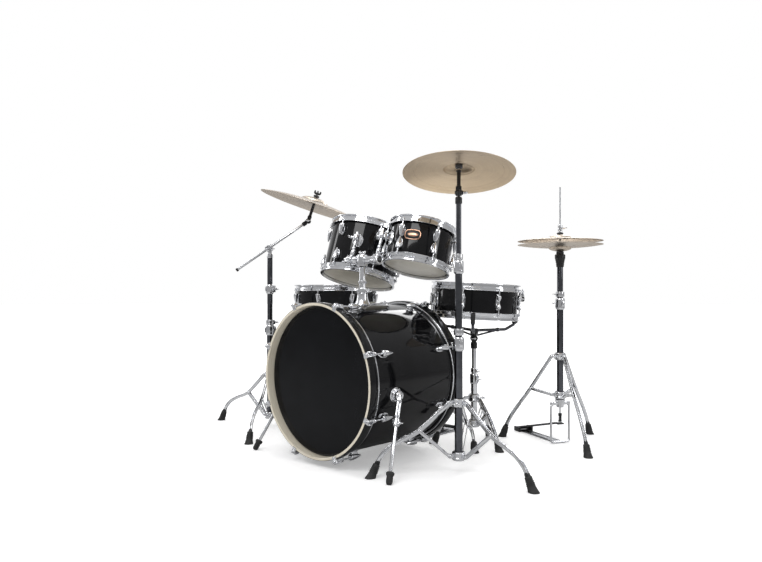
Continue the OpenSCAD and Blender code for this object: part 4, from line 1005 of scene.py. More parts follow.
s = Shape()
s.add(saddle(39.5, 4.2))
s.add(lathe([(13.4, 592), (33, 592), (31.5, 598.5), (27.5, 605), (24, 613), (21.6, 623), (20.6, 634),
             (20.4, 640), (22.2, 641.5), (22.6, 644), (22.6, 656), (22.0, 660), (20.0, 662), (13.4, 662)], 96,
            True), T(0, POST_Y, 0))
for a in (45, 135, 225, 315):
    p = polar(33.5, a)
    s.add(hex_nut(8, 4.5), T(p.x, POST_Y + p.y, 594.2 + 2.6 - abs(p.x) * 0.06))
for y in (6.5, -6.5):
    s.add(block(15, 9, 18, 2.0), T(26, POST_Y + y, 650))
s.add(wing_bolt(10, 25), T(20, POST_Y, 648))
emit("tom_holder_base", s, CHROME, "bass_brackets", kit)
HUB, TIP = Vector((300, -120, 276)), Vector((373, -255, 0))
bend = along(HUB, TIP - HUB, 96)
for tag, m, node in (("right", I4, "spur_right"), ("left", S(-1, 1, 1), "spur_left")):
    hub = Shape()
    base = aim((0, HUB.y, BASS_Z), HUB)
    hub.add(turned([(0, 279.6), (27, 279.6), (27, 283), (24, 286.5), (23, 290.5), (21, 292), (0, 292)], 1.4,
                   64), m @ base)
    for a in range(4):
        hub.add(rivet(3.4, 2.0), m @ base @ R(45 + 90 * a, "Z") @ T(25, 0, 284) @ R(24, "Y"))
    for a in range(24):
        hub.add(block(2.0, 1.3, 3.0, 0.4), m @ base @ R(15 * a, "Z") @ T(21.5, 0, 290.6))
    emit(f"spur_hub_{tag}", hub, CHROME, "bass_brackets", kit)
    up = Shape()
    up.add(turned([(0, 292.3), (17.5, 292.3), (18.5, 296), (18.5, 303), (15, 309), (10.5, 310), (9, 314),
                   (0, 314)], 1.6, 56), m @ base)
    for a in range(24):
        up.add(block(1.8, 1.3, 3.0, 0.4), m @ base @ R(15 * a + 7, "Z") @ T(18, 0, 294))
    for v in (-6.5, 6.5):
        up.add(rod(HUB + Vector((3, v, 0)), bend + Vector((0, v, 0)), 4.6, 1.4, 24), m)
    lower = aim(bend, TIP)
    up.add(block(17, 25, 20, 4.0), m @ aim(HUB, TIP) @ T(2, 0, 14))
    up.add(turned([(0, -13), (10.5, -13), (13, -9), (13, 12), (10.5, 16), (0, 16)], 2.0, 48), m @ lower)
    up.add(ring(13.6, 12.4, -3, 4, 0.8, 48), m @ lower)
    up.add(wing_bolt(7, 20), m @ T(*bend) @ R(-20, "Z") @ T(11, 0, 0))
    rod_low = along(TIP, HUB - TIP, 36)
    up.add(rod(bend, rod_low, 6.5, 0.8, 32), m)
    emit(f"spur_{tag}_leg", up, CHROME, node, kit)
    foot = Shape()
    line = aim(rod_low, TIP)
    length = (TIP - rod_low).length
    foot.add(turned([(6.55, -8), (12.5, -8), (14.6, -5), (14.6, 1), (12.2, 4), (11.0, 9), (11.2, 22),
                     (10.6, length - 5.5), (7.5, length - 1.2), (0, length - 1.0), (0, 2), (6.55, 2)], 1.2,
                    40), m @ line)
    for k in range(3):
        foot.add(ring(11.9, 9, 12 + 5 * k, 14.4 + 5 * k, 0.7, 40), m @ line)
    emit(f"spur_{tag}_tip", foot, RUBBER, node, kit)


# ---------------------------------------------------------------- tom holder
BARREL = Vector((0, POST_Y, 774))
s = Shape()
s.add(turned([(10.5, 470), (12.5, 470), (12.5, 752), (0, 752), (0, 748), (10.5, 740)], 0.6, 72),
      T(0, POST_Y, 0))
s.add(ring(16.5, 12.4, 679, 691, 1.6, 56), T(0, POST_Y, 0))
s.add(block(12, 10, 10, 2.0), T(16, POST_Y, 685))
s.add(turned([(0, -30), (17, -30), (20.4, -25), (21, -10), (21, 12), (18.5, 20), (12, 22.4), (0, 22.4)], 2.2,
             72), T(*BARREL))
s.add(turned([(0, -94), (13.6, -94), (15, -92), (15, 92), (13.6, 94), (0, 94)], 0.8, 72), T(*BARREL) @ X_LINE)
for v in BOTH:
    s.add(ring(18.6, 14.9, 21, 27, 1.4, 64), T(*BARREL) @ S(v, 1, 1) @ X_LINE)
    s.add(wing_nut(19, 4.2, 6.2, 9), T(BARREL.x + v * 8, BARREL.y, BARREL.z + 21.6) @ R(-v * 6, "Y"))
emit("tom_holder_post", s, CHROME, "tom_post", kit)
caps = Shape()
for v in BOTH:
    caps.add(turned([(0, 92.5), (13.2, 92.5), (13.2, 94.3), (9, 95.1), (0, 95.2)], 0.6, 48),
             T(*BARREL) @ S(v, 1, 1) @ X_LINE)
emit("tom_holder_caps", caps, CASTING, "tom_post", kit)


def rod_point(at, d, turn, z):
    """A point at height z in the tom's own frame, on the axis of its arm's rod."""
    p = polar(d / 2 + ARM_OUT, turn)
    c, q = math.cos(math.radians(TOM_LEAN)), math.sin(math.radians(TOM_LEAN))
    return Vector((at[0] + p.x, at[1] + p.y * c + z * q, at[2] - p.y * q + z * c))


for tag, node, at, d, turn, top in (("right", "tom_arm_right", HIGH_TOM, HIGH_D, HIGH_TURN, 30),
                                    ("left", "tom_arm_left", MID_TOM, MID_D, MID_TURN, 34)):
    p = rod_point(at, d, turn, 0)
    foot = Vector((p.x, p.y - (p.z - BARREL.z) * math.tan(math.radians(TOM_LEAN)), BARREL.z))
    q = foot - Vector((foot.x, BARREL.y, BARREL.z))
    s = Shape()
    split = T(foot.x, BARREL.y, BARREL.z) @ X_LINE
    s.add(bushing([(15.15, -13), (20.6, -13), (21.6, -10), (21.6, 10), (20.6, 13), (15.15, 13)], 1.6, 72),
          split)
    for v in (-9, 9):
        s.add(ring(22.1, 20.5, v - 1.2, v + 1.2, 0.6, 72), split)
    top_at = rod_point(at, d, turn, top)
    start = foot + (top_at - foot).normalized() * (16 if q.length < 12 else 3)
    s.add(rod(start, top_at, 5.6, 0.9, 32))
    s.add(turned([(0, 0), (9.4, 0), (9.4, 24), (7.6, 29), (0, 29)], 2.0, 40), aim(start, top_at))
    s.add(ring(8.6, 5.5, 31, 39, 1.2, 36), aim(start, top_at))
    s.add(block(22, 12, 15, 3.0), T(foot.x, BARREL.y - 22.5, BARREL.z - 6))
    s.add(wing_bolt(7, 23), T(foot.x, BARREL.y - 21, BARREL.z - 6) @ R(-90, "Z"))
    emit(f"tom_arm_{tag}_rod", s, CHROME, node, kit)


# ---------------------------------------------------------------- cymbals
def cymbal_part(d, bell_d, bow, bell):
    """Curved bow rising to a shoulder and a rounded bell, with a finely rounded edge."""
    r, b, thick, hole = d / 2, bell_d / 2, 1.4, 7.0
    top = []
    for k in range(41):
        x = r - (r - b) * k / 40
        u = (x - b) / (r - b)
        top.append((x, bow * (1 - 0.86 * u * u - 0.14 * u)))
    for k in range(1, 19):
        x = b + (hole - b) * k / 18
        u = x / b
        top.append((x, bow + bell * math.sqrt(max(0.0, 1 - 0.97 * u * u))))
    for k in range(3):
        i = 40 + k
        top[i] = (top[i][0], top[i][1] + (0.9, 0.55, 0.2)[k] * 0.6)
    upper = [(x, z + thick) for x, z in top]
    lower = [(x, z) for x, z in reversed(top)]
    upper[0] = (r - 0.35, upper[0][1])
    lower[-1] = (r - 0.35, lower[-1][1])
    edge = [(r - 0.05, top[0][1] + 0.35), (r - 0.05, top[0][1] + thick - 0.35)]
    return lathe(edge + upper + lower, 256, True)


def felt_part(z, h, r, bore=7.2):
    return bushing([(bore, z), (r - 0.6, z), (r, z + h * 0.5), (r - 0.6, z + h), (bore, z + h)],
                   min(2.2, h * 0.4), 48, 5)


def cymbal_pieces(name, node, at, d, bell_d, bow, bell, plane, seat, mat):
    s = Shape()
    s.add(cymbal_part(d, bell_d, bow, bell))
    emit(name + "_plate", s, mat, node, at @ T(0, 0, plane), sharp=50)
    f = Shape()
    f.add(felt_part(seat - 12, 10, 14))
    f.add(felt_part(seat + 4, 9, 14))
    emit(name + "_felts", f, BLACK_FELT, node, at, sharp=60)


def tilter_pieces(name, node, at, seat):
    """Toothed cheeks, seat post with sleeve, threaded stud and wing nut."""
    reach, nut = seat - 10, seat + 16
    s = Shape()
    for v in BOTH:
        s.add(bushing([(4.15, -2.5), (11, -2.5), (12, -1.4), (12, 1.4), (11, 2.5), (4.15, 2.5)], 0.8, 48),
              T(0, v * 8, 0) @ ON_EDGE)
        s.add(block(15.4, 4.8, 20, 1.6), T(0, v * 8, 13))
    s.add(block(18, 21, 9, 2.6), T(0, 0, 18))
    s.add(turned([(0, 20), (9.2, 20), (9.2, 24), (7, 27), (7, reach - 18), (10, reach - 16.2),
                  (10.2, reach - 13), (4.6, reach - 13), (0, reach - 13)], 1.0, 48))
    s.add(bushing([(4.3, seat - 13.0), (6.4, seat - 13.0), (6.4, seat + 14), (4.3, seat + 14)], 0.6, 36))
    emit(name + "_casting", s, CASTING, node, at)
    s = Shape()
    s.add(z_rod(0, 22, nut + 20, 3.9, 0.6, 28))
    for k in range(16):
        s.add(ring(4.25, 3.7, nut + 11.5 + k * 0.5, nut + 11.8 + k * 0.5, 0.1, 20))
    emit(name + "_stud", s, STEEL, node, at)
    s = Shape()
    s.add(turned([(0, nut), (7.9, nut), (7.9, nut + 2), (6.6, nut + 5), (6.4, nut + 11), (5, nut + 12.6),
                  (0, nut + 12.6)], 1.0, 36))
    for v in BOTH:
        ear = [(5.0, 1.5), (12.0, 1.2), (16.6, 6.5), (17.6, 13), (16.0, 18.6), (12.8, 20.0), (9.8, 18.0),
               (9.2, 12.4), (6.2, 8.6), (4.8, 8.0)]
        s.add(plate(soft([(v * p[0], p[1]) for p in ear], 2.4, True, 3), 6.4, 2.4), T(0, 0, nut) @ ON_EDGE)
    emit(name + "_wing_nut", s, CASTING, node, at)


def knuckle(s, trim):
    """Lower half of a tilter: toothed disc, pin, cap and wing bolt."""
    s.add(turned([(0, -5), (11, -5), (12, -4), (12, 4), (11, 5), (0, 5)], 1.0, 48), ON_EDGE)
    for v in BOTH:
        for k in range(20):
            trim.add(block(1.5, 0.8, 2.6, 0.3), R(18 * k, "Y") @ T(0, v * 5.2, 10.2))
    trim.add(y_rod(12, 3.95, 0.4, 28))
    s.add(turned([(0, 11), (8.2, 11), (8.2, 14), (6, 16.4), (0, 16.4)], 1.0, 36), ON_EDGE)
    s.add(turned([(0, 11), (7.2, 11), (7.2, 13), (5, 14), (0, 14)], 1.0, 36), R(-90, "X"))
    trim.add(wing_bolt(3, 24), T(0, -15.4, 0) @ R(-90, "Z"))


CRASH_TURN, CRASH_TILT = 124.1, 12.7
crash_pivot = (450, 30, 1071 - 71 * math.cos(math.radians(CRASH_TILT)))
crash_head = place(*crash_pivot) @ R(CRASH_TURN, "Z") @ R(CRASH_TILT, "Y")
crash_seat = 71 + 17 + 19 * 0.98
cymbal_pieces("crash_cymbal", "crash_cymbal", crash_head, 406, 112, 17, 19, 71, crash_seat, BRONZES[0])
tilter_pieces("crash_tilter_head", "crash_tilter", crash_head, crash_seat)

RISE = 34.4  # slope of the ride boom
BOOM_OUT = 224  # from the joint to the tilter, along the boom
RIDE_TOP = (-690, 68, 852)  # the boom's joint
rise, across = math.radians(RISE), math.radians(VIEW_TURN)
boom_dir = Vector((math.cos(rise) * math.cos(across), math.cos(rise) * math.sin(across), math.sin(rise)))
aside = Vector((24 * math.sin(across), -24 * math.cos(across), 0))
ride_pivot = Vector(RIDE_TOP) + boom_dir * BOOM_OUT + aside
ride_head = place(*ride_pivot) @ R(VIEW_TURN, "Z") @ R(18.2, "Y")
ride_seat = 66 + 24 + 24 * 0.98
cymbal_pieces("ride_cymbal", "ride_cymbal", ride_head, 508, 132, 24, 24, 66, ride_seat, BRONZES[1])
tilter_pieces("ride_tilter_head", "ride_tilter", ride_head, ride_seat)

# hi-hat pair, clutch and seat
hat_at = place(474, 717, 848)
s = Shape()
s.add(cymbal_part(356, 96, 12, 16))
emit("hihat_top_plate", s, BRONZES[2], "hihat_top_cymbal", hat_at @ T(0, 0, 14), sharp=50)
s = Shape()
s.add(cymbal_part(356, 96, 12, 16), FLIP)
emit("hihat_bottom_plate", s, BRONZES[3], "hihat_bottom_cymbal", hat_at, sharp=50)
s = Shape()
s.add(felt_part(29.4, 7, 14, 6.2))
s.add(felt_part(18, 8, 14, 6.2))
emit("hihat_clutch_felts", s, BLACK_FELT, "hihat_top_cymbal", hat_at @ T(0, 0, 14), sharp=60)
s = Shape()
s.add(ring(6.0, 3.15, 11, 71, 0.5, 40))
for k in range(10):
    s.add(ring(6.25, 5.6, 38.5 + k * 1.0, 39.0 + k * 1.0, 0.15, 32))
s.add(bushing([(3.15, 11), (9, 11), (9, 15.6), (7, 17.6), (3.15, 17.6)], 0.8, 36))
for k in range(18):
    s.add(block(1.2, 1.4, 4.2, 0.4), R(20 * k, "Z") @ T(8.9, 0, 14))
s.add(bushing([(6, 37), (10, 37), (10, 42), (8.4, 43), (6, 43)], 0.8, 36))
s.add(bushing([(6, 45), (9.6, 45), (9.6, 69), (8, 71), (6, 71)], 1.4, 48))
s.add(wing_bolt(7, 24), T(8, 0, 57))
emit("hihat_clutch", s, CHROME, "hihat_top_cymbal", hat_at @ T(0, 0, 14))
s = Shape()
s.add(felt_part(-41.9, 12.4, 16, 7.0))
emit("hihat_seat_felt", s, BLACK_FELT, "hihat_bottom_cymbal", hat_at, sharp=60)


# ---------------------------------------------------------------- stands
HUB_R = 36.0  # the legs' pins, from the stand's axis


def strip_outline(points, w):
    """Outline of a bent flat bar with round ends, about a curve through the points."""
    line = [Vector((p[0], p[1], 0)) for p in points]
    if len(line) > 2:
        line = smooth_path(line, 8)
    left, right, n = [], [], len(line)
    for i, p in enumerate(line):
        d = (line[min(i + 1, n - 1)] - line[max(i - 1, 0)]).normalized()
        side = Vector((-d.y, d.x, 0)) * w / 2
        left.append(p + side)
        right.append(p - side)

    def cap(p, centre):
        start = math.atan2(p.y - centre.y, p.x - centre.x)
        angles = [start - math.pi * k / 8 for k in range(1, 8)]
        return [centre + Vector((math.cos(a), math.sin(a), 0)) * w / 2 for a in angles]

    out = left + cap(left[-1], line[-1]) + right[::-1] + cap(right[0], line[0])
    return [(p.x, p.y) for p in out]


def strip(points, w, t, y):
    """Bent flat bar standing on edge at y."""
    return moved(plate(strip_outline(points, w), t, 0.45), T(0, y, 0) @ ON_EDGE)


def cross_pin(s, p, half):
    s.add(rod((p[0], -half, p[1]), (p[0], half, p[1]), 3.0, 0.3, 20))
    for v in BOTH:
        s.add(rivet(4.8, 1.7), T(p[0], v * (half - 0.6), p[1]) @ R(-90 * v, "X"))


def foot_part(points):
    """Ribbed rubber boot on the leg's end, flat where it meets the floor."""
    tip, before = Vector(points[-1]), Vector(points[-2])
    d = (tip - before).normalized()
    a = Vector((tip.x - d.x * 6, 0, tip.y - d.y * 6))
    b = Vector((tip.x + d.x * 46, 0, -12.0))
    h = (b - a).length
    line = [(0, 0), (10.4, 0), (12.2, 1.6)]
    for k in range(5):
        u = 4 + k * 5.6
        r = 12 + 7 * u / h
        line += [(r + 0.4, u), (r + 0.5, u + 3.0), (r - 0.9, u + 3.7), (r - 0.8, u + 5.0)]
    line += [(17.4, 0.74 * h), (18.8, h), (0, h)]
    verts, faces = moved(lathe(line, 40), aim(a, b))
    return [(x, y, max(z, 0.0)) for x, y, z in verts], faces


def leg_parts(points, metal, rubber, black):
    """Double-strip leg with its pin, rivet, bushes and boot. The brace joins at points[1]."""
    for y in (-4, 4):
        metal.add(strip(points, 14, 2, y))
    cross_pin(metal, points[1], 8.6)
    mid = Vector(points[2]).lerp(Vector(points[3]), 0.5)
    metal.add(rod((mid.x, -4.6, mid.y), (mid.x, 4.6, mid.y), 3.4, 0.3, 20))
    for v in BOTH:
        metal.add(rivet(3.6, 1.4), T(mid.x, v * 4.8, mid.y) @ R(-90 * v, "X"))
    top, nxt = Vector(points[0]), Vector(points[1])
    u = (nxt - top).normalized()
    a, b = top + u * 9, top + u * 24
    black.add(moved(plate(strip_outline([a, b], 15.6), 5.6, 1.2), ON_EDGE))
    p = Vector(points[1])
    black.add(moved(plate(strip_outline([p - u * 5, p + u * 5], 15.0), 5.6, 1.2), ON_EDGE))
    tip, before = Vector(points[-1]), Vector(points[-2])
    e = (tip - before).normalized()
    black.add(moved(plate(strip_outline([tip - e * 12, tip + e * 4], 17.0), 12.4, 2.0), ON_EDGE))
    rubber.add(foot_part(points))


def brace_parts(a, b, metal):
    for y in (-6.4, 6.4):
        metal.add(strip([a, b], 12, 1.8, y))
    for p in (a, b):
        for v in BOTH:
            metal.add(rivet(4.6, 1.6), T(p[0], v * 7.3, p[1]) @ R(-90 * v, "X"))


def hub_parts(metal, black, z, bore, turns, ear_t, pins):
    metal.add(bushing([(bore + 0.1, z - 15), (21.6, z - 15), (24, z - 12.6), (24, z - 6), (22.8, z - 4),
                       (22.8, z + 4), (24, z + 6), (24, z + 12.6), (21.6, z + 15), (bore + 0.1, z + 15)], 1.0,
                      72))
    for v in BOTH:
        black.add(ring(20.4, bore + 0.1, z + v * 15.2 - 0.7, z + v * 15.2 + 0.7, 0.5, 56))
    for a in turns:
        m = R(a, "Z")
        ear = [(17, z - 8), (34, z - 8), (39, z - 7), (42, z), (39, z + 7), (34, z + 8), (17, z + 8)]
        metal.add(plate(soft(ear, 3.0, True, 3), ear_t, 0.7), m @ ON_EDGE)
        if pins:
            pin = Shape()
            cross_pin(pin, (HUB_R, z), 7.0)
            metal.add(pin, m)


def clamp_parts(metal, black, z0, z1, r_out, r_in, turn):
    """Tube clamp: body, plastic bush, split lugs, wing bolt and its pivot screw."""
    metal.add(bushing([(r_in + 0.2, z0), (r_out - 3, z0), (r_out - 0.4, z0 + 5), (r_out, z0 + 9),
                       (r_out, z1 - 7), (r_out - 1.2, z1 - 3), (r_out - 2.4, z1), (r_in + 0.2, z1)], 1.4, 72))
    black.add(ring(r_in + 2.6, r_in + 0.15, z1 - 1, z1 + 0.6, 0.5, 56))
    z = (z0 + z1) / 2
    m = R(turn, "Z")
    for v in BOTH:
        metal.add(block(13, 6.4, (z1 - z0) * 0.72, 2.0), m @ T(r_out + 1.5, v * 5.0, z + 1))
    metal.add(wing_bolt(12, 26), m @ T(r_out - 2, 0, z + 1))
    metal.add(block(8, 12, (z1 - z0) * 0.5, 2.0), m @ T(-r_out - 0.5, 0, z + 1))


def lock_parts(metal, z, r_out, r_in, h, turn):
    """Memory lock: hinged collar with a slot and a drum-key bolt."""
    metal.add(ring(r_out, r_in + 0.15, z - h / 2, z + h / 2, 1.6, 72))
    m = R(turn, "Z")
    for v in BOTH:
        metal.add(block(11, 4.6, h * 0.86, 1.6), m @ T(r_out + 2, v * 3.6, z))
    metal.add(wing_bolt(12, 22), m @ T(r_out - 2, 0, z))
    for v in BOTH:
        metal.add(ring(r_out + 0.7, r_out - 1, z + v * h * 0.3 - 0.8, z + v * h * 0.3 + 0.8, 0.4, 72))


def tripod_pieces(name, node, at, points, turns, lower_z, bore):
    metal, rubber, black = shapes(3)
    hub_parts(metal, black, points[0][1], bore, turns, 5, True)
    hub_parts(metal, black, lower_z, bore, turns, 10, False)
    metal.add(wing_bolt(12), R(turns[0] + 60, "Z") @ T(22, 0, points[0][1]))
    for a in turns:
        leg_m, leg_r, leg_b = shapes(3)
        leg_parts(points, leg_m, leg_r, leg_b)
        brace_parts(points[1], (HUB_R, lower_z), leg_m)
        for part, shape in ((leg_m, metal), (leg_r, rubber), (leg_b, black)):
            shape.add(part, R(a, "Z"))
    emit(name + "_frame", metal, CHROME, node, at)
    emit(name + "_boots", rubber, RUBBER, node, at)
    emit(name + "_bushes", black, CASTING, node, at)


LEGS = dict(
    crash=[(36, 252), (147, 157), (215, 124), (255, 102), (284, 73), (302, 42)],
    ride=[(36, 252), (147, 157), (228, 124), (272, 102), (304, 73), (322, 42)],
    hihat=[(36, 371), (130, 225), (180, 155), (212, 108), (232, 73), (245, 42)],
    snare=[(36, 196), (90, 142), (119, 107), (138, 78), (151, 52), (158, 34)])
CRASH_TURNS = (235.3, 355.3, 115.3)

# crash stand
crash_at = place(450, 30, 0)
metal, black, dark = shapes(3)
hub_parts(metal, black, 62, 13.8, CRASH_TURNS, 10, False)
dark.add(tube(14.3, 47, 440))
clamp_parts(metal, black, 436, 486, 20, 12.8, 150)
emit_set("crash_base", "crash_base", crash_at, ("_tube", dark, SMOKE), ("_hub", metal, CHROME),
         ("_bushes", black, CASTING))
metal, black = shapes(2)
hub_parts(metal, black, 252, 14.4, CRASH_TURNS, 5, True)
metal.add(wing_bolt(12), R(CRASH_TURNS[0] + 60, "Z") @ T(22, 0, 252))
emit_set("crash_collar", "crash_collar", crash_at, ("_ring", metal, CHROME), ("_bushes", black, CASTING))
for k, a in enumerate(CRASH_TURNS):
    metal, rubber, black = shapes(3)
    leg_parts(LEGS["crash"], metal, rubber, black)
    where = crash_at @ R(a, "Z")
    emit_set(f"crash_leg_{k + 1}", f"crash_leg_{k + 1}", where, ("_strips", metal, CHROME),
             ("_boot", rubber, RUBBER), ("_bushes", black, CASTING))
    metal = Shape()
    brace_parts(LEGS["crash"][1], (HUB_R, 62), metal)
    emit(f"crash_brace_{k + 1}_strips", metal, CHROME, f"crash_brace_{k + 1}", where)
metal, black, dark = shapes(3)
dark.add(tube(12.6, 200, 730))
lock_parts(metal, 504, 18, 12.6, 24, 150)
clamp_parts(metal, black, 712, 760, 18, 9.8, 150)
emit_set("crash_mid_tube", "crash_mid_tube", crash_at, ("_body", dark, SMOKE), ("_lock", metal, CHROME),
         ("_bush", black, CASTING))
top_z = crash_pivot[2]
metal, black, dark = shapes(3)
dark.add(tube(9.6, 600, top_z - 30))
lock_parts(metal, 772, 15, 9.6, 22, 150)
emit_set("crash_top_tube", "crash_top_tube", crash_at, ("_body", dark, SMOKE), ("_lock", metal, CHROME))
metal = Shape()
knuckle(black, metal)
black.add(turned([(0, -40), (11.4, -40), (12.5, -37), (12.5, -20), (10, -15), (0, -15)], 1.6, 56))
black.add(block(16, 9.8, 14, 2.4), T(0, 0, -13))
pivot_at = place(*crash_pivot) @ R(CRASH_TURN, "Z")
emit_set("crash_knuckle", "crash_top_tube", pivot_at, ("", black, CASTING), ("_trim", metal, CHROME))

# ride stand
ride_at = place(-690, 68, 0)
tripod_pieces("ride_tripod", "ride_tripod", ride_at, LEGS["ride"], (187.3, 307.3, 67.3), 62, 14.3)
metal, black, dark = shapes(3)
dark.add(tube(14.3, 47, 446))
clamp_parts(metal, black, 440, 488, 20, 12.8, 60)
emit_set("ride_base", "ride_tripod", ride_at, ("_tube", dark, SMOKE), ("_clamp", metal, CHROME),
         ("_bush", black, CASTING))
metal, black, dark = shapes(3)
dark.add(tube(12.6, 230, 826))
lock_parts(metal, 501, 18, 12.6, 24, 60)
clamp_parts(metal, black, 636, 680, 18, 12.8, 60)
emit_set("ride_tube", "ride_tube", ride_at, ("_body", dark, SMOKE), ("_lock", metal, CHROME),
         ("_bush", black, CASTING))
boom_at = place(*RIDE_TOP) @ R(VIEW_TURN, "Z")
metal = Shape()
metal.add(turned([(0, -46), (12.8, -46), (15, -43), (15, -28), (12, -24), (0, -24)], 1.6, 64))
metal.add(block(18, 9.8, 22, 2.4), T(0, 0, -16))
metal.add(turned([(0, -5), (14, -5), (15, -4), (15, 4), (14, 5), (0, 5)], 0.9, 64), ON_EDGE)
for v in BOTH:
    for k in range(24):
        metal.add(block(1.6, 0.6, 2.8, 0.3), R(15 * k, "Y") @ T(0, v * 5.1, 13))
metal.add(rod((0, 0, 0), (0, 34, 0), 5.0, 0.6, 32))
metal.add(turned([(0, 18.5), (9, 18.5), (9, 22), (7, 24), (0, 24)], 0.8, 40), R(-90, "X"))
metal.add(wing_bolt(8, 30), T(0, 24, 0) @ R(90, "Z"))
emit("ride_boom_joint", metal, CHROME, "ride_tube", boom_at)
slope = boom_at @ R(-RISE, "Y")
metal, black = shapes(2)
metal.add(bushing([(5.1, 5.5), (14.2, 5.5), (15, 6.6), (15, 16), (13.6, 17.4), (5.1, 17.4)], 0.8, 64),
          R(-90, "X"))
metal.add(bushing([(5.1, 5.5), (14.2, 5.5), (15, 6.6), (15, 12), (13, 15), (13, 34), (11, 37.2), (5.1, 37.2)],
                  1.0, 64), ON_EDGE)
metal.add(block(32, 6.4, 26, 2.2), T(0, -34, 0))
for v in BOTH:
    metal.add(block(32, 25, 6.4, 2.0), T(0, -24.5, v * 9.8))
    black.add(block(30.5, 14, 3.0, 0.8), T(0, -24, v * 7.6))
    metal.add(hex_nut(8, 3.4), T(10 * v, -37, 0) @ ON_EDGE)
emit_set("ride_boom", "ride_boom_clamp", slope, ("_jaws", metal, CHROME), ("_pads", black, CASTING))
boom_line = slope @ T(0, -24, 0)
metal, black = shapes(2)
metal.add(rod((-177, 0, 0), (205, 0, 0), 6.0, 0.5, 40))
for k in range(19):
    metal.add(moved(ring(6.12, 5.6, 0, 0.8, 0.2, 32), T(-168 + 3.2 * k, 0, 0) @ X_LINE))
black.add(turned([(0, 0), (7, 0), (8, 2), (8, 8), (7.4, 10), (0, 10)], 1.0, 36), T(-187, 0, 0) @ X_LINE)
emit_set("ride_boom", "ride_boom", boom_line, ("_bar", metal, CHROME), ("_cap", black, RUBBER))
metal, black = shapes(2)
knuckle(black, metal)
back = R(-RISE - 90, "Y")
black.add(turned([(0, 12.8), (8.2, 12.8), (10, 15), (10, 30), (8.4, 32.6), (0, 32.6)], 1.4, 48), back)
black.add(block(15, 9.6, 9, 2.0), back @ T(0, 0, 10))
tip_at = boom_line @ T(BOOM_OUT, 0, 0) @ R(RISE, "Y")
emit_set("ride_knuckle", "ride_boom", tip_at, ("", black, CASTING), ("_trim", metal, CHROME))

# hi-hat stand
hh_at = place(474, 717, 0)
AIM = R(155, "Z")
tripod_pieces("hihat_tripod", "hihat_tripod", hh_at, LEGS["hihat"], (192.8, 322.8, 88.5), 205, 14.3)
metal, black, grey, dark = shapes(4)
dark.add(tube(14.3, 186, 574))
clamp_parts(metal, black, 570, 620, 20, 12.8, 150)
metal.add(bushing([(4, 153), (14, 153), (15.4, 158), (17.4, 170), (21.6, 184), (22, 187), (4, 187)], 1.6, 64))
for v in BOTH:
    metal.add(block(12, 42, 14, 3.0), AIM @ T(0, v * 29, 170))
    metal.add(bent_bar([(0, v * 40, 166), (0, v * 46, 158), (0, v * 46, 12), (0, v * 41, 6), (0, 0, 6)], 9, 6,
                       4.8), AIM)
grey.add(moved(plate(soft([(-6, -24), (278, -24), (278, 24), (-6, 24)], 5, True), 3.6, 0.8),
               AIM @ T(0, 0, 3)))
for v in (-15, 15):
    grey.add(block(240, 3.0, 2.2, 0.8), AIM @ T(132, v, 5.2))
emit_set("hihat_base", "hihat_tripod", hh_at, ("_tube", dark, SMOKE), ("_frame", metal, CHROME),
         ("_plate", grey, STEEL))
for v in BOTH:
    black.add(block(44, 9, 21.6, 2.6), AIM @ T(278, v * 33.5, 11))
black.add(block(44, 74, 4.8, 1.4), AIM @ T(278, 0, 2.6))
emit("hihat_heel", black, CASTING, "hihat_tripod", hh_at)
dark, metal, black = shapes(3)
dark.add(tube(12.6, 400, 796))
lock_parts(metal, 636, 18, 12.6, 22, 150)
black.add(bushing([(12.7, 752), (15.5, 752), (16.6, 768), (19.4, 782), (22, 790), (22, 803), (20, 806),
                   (7.2, 806), (6.6, 807), (6.6, 825.4), (5.6, 826), (3.4, 826), (3.4, 796), (12.7, 796)],
                  1.6, 64))
for k in range(3):
    black.add(ring(17.2 + 1.4 * k, 14, 762 + 9 * k, 765 + 9 * k, 0.8, 56))
emit_set("hihat", "hihat_tube", hh_at, ("_tube_body", dark, SMOKE), ("_tube_lock", metal, CHROME),
         ("_cup", black, CASTING))
metal, black = shapes(2)
metal.add(z_rod(0, 122, 1094, 3.0, 0.6, 24))
emit("hihat_pull_rod", metal, STEEL, "hihat_rod", hh_at)
black.add(z_rod(0, 116, 128, 7.8, 1.4, 28))
black.add(z_rod(0, 92, 98, 7.8, 1.4, 28))
black.add(helix(5.6, 97, 117, 5, 1.5))
black.add(z_rod(0, 95, 120, 3.2, 0.5, 20))
emit("hihat_spring_link", black, CASTING, "hihat_rod", hh_at)
board_at = hh_at @ AIM
s = Shape()
s.add(moved(plate(strip_outline([(284, 17), (150, 50), (20, 82)], 7.4), 51, 1.4), ON_EDGE))
slope_angle = math.degrees(math.atan2(65, 264))
for k in range(20):
    x = 268 - k * 12.2
    s.add(block(3.6, 44, 1.8, 0.7), T(x, 0, 20.8 + (284 - x) * 65 / 264) @ R(slope_angle, "Y"))
s.add(rod((290, -26, 14), (290, 26, 14), 7, 1.2, 32))
s.add(block(34, 31, 6, 2.0), T(9, 0, 83))
emit("hihat_footboard_plate", s, CASTING, "hihat_footboard", board_at)
s = Shape()
s.add(rod((290, -36, 14), (290, 36, 14), 2.9, 0.5, 20))
for v in (-9, 9):
    s.add(hex_nut(7, 3.2), T(4, v, 86))
emit("hihat_footboard_pin", s, CHROME, "hihat_footboard", board_at)

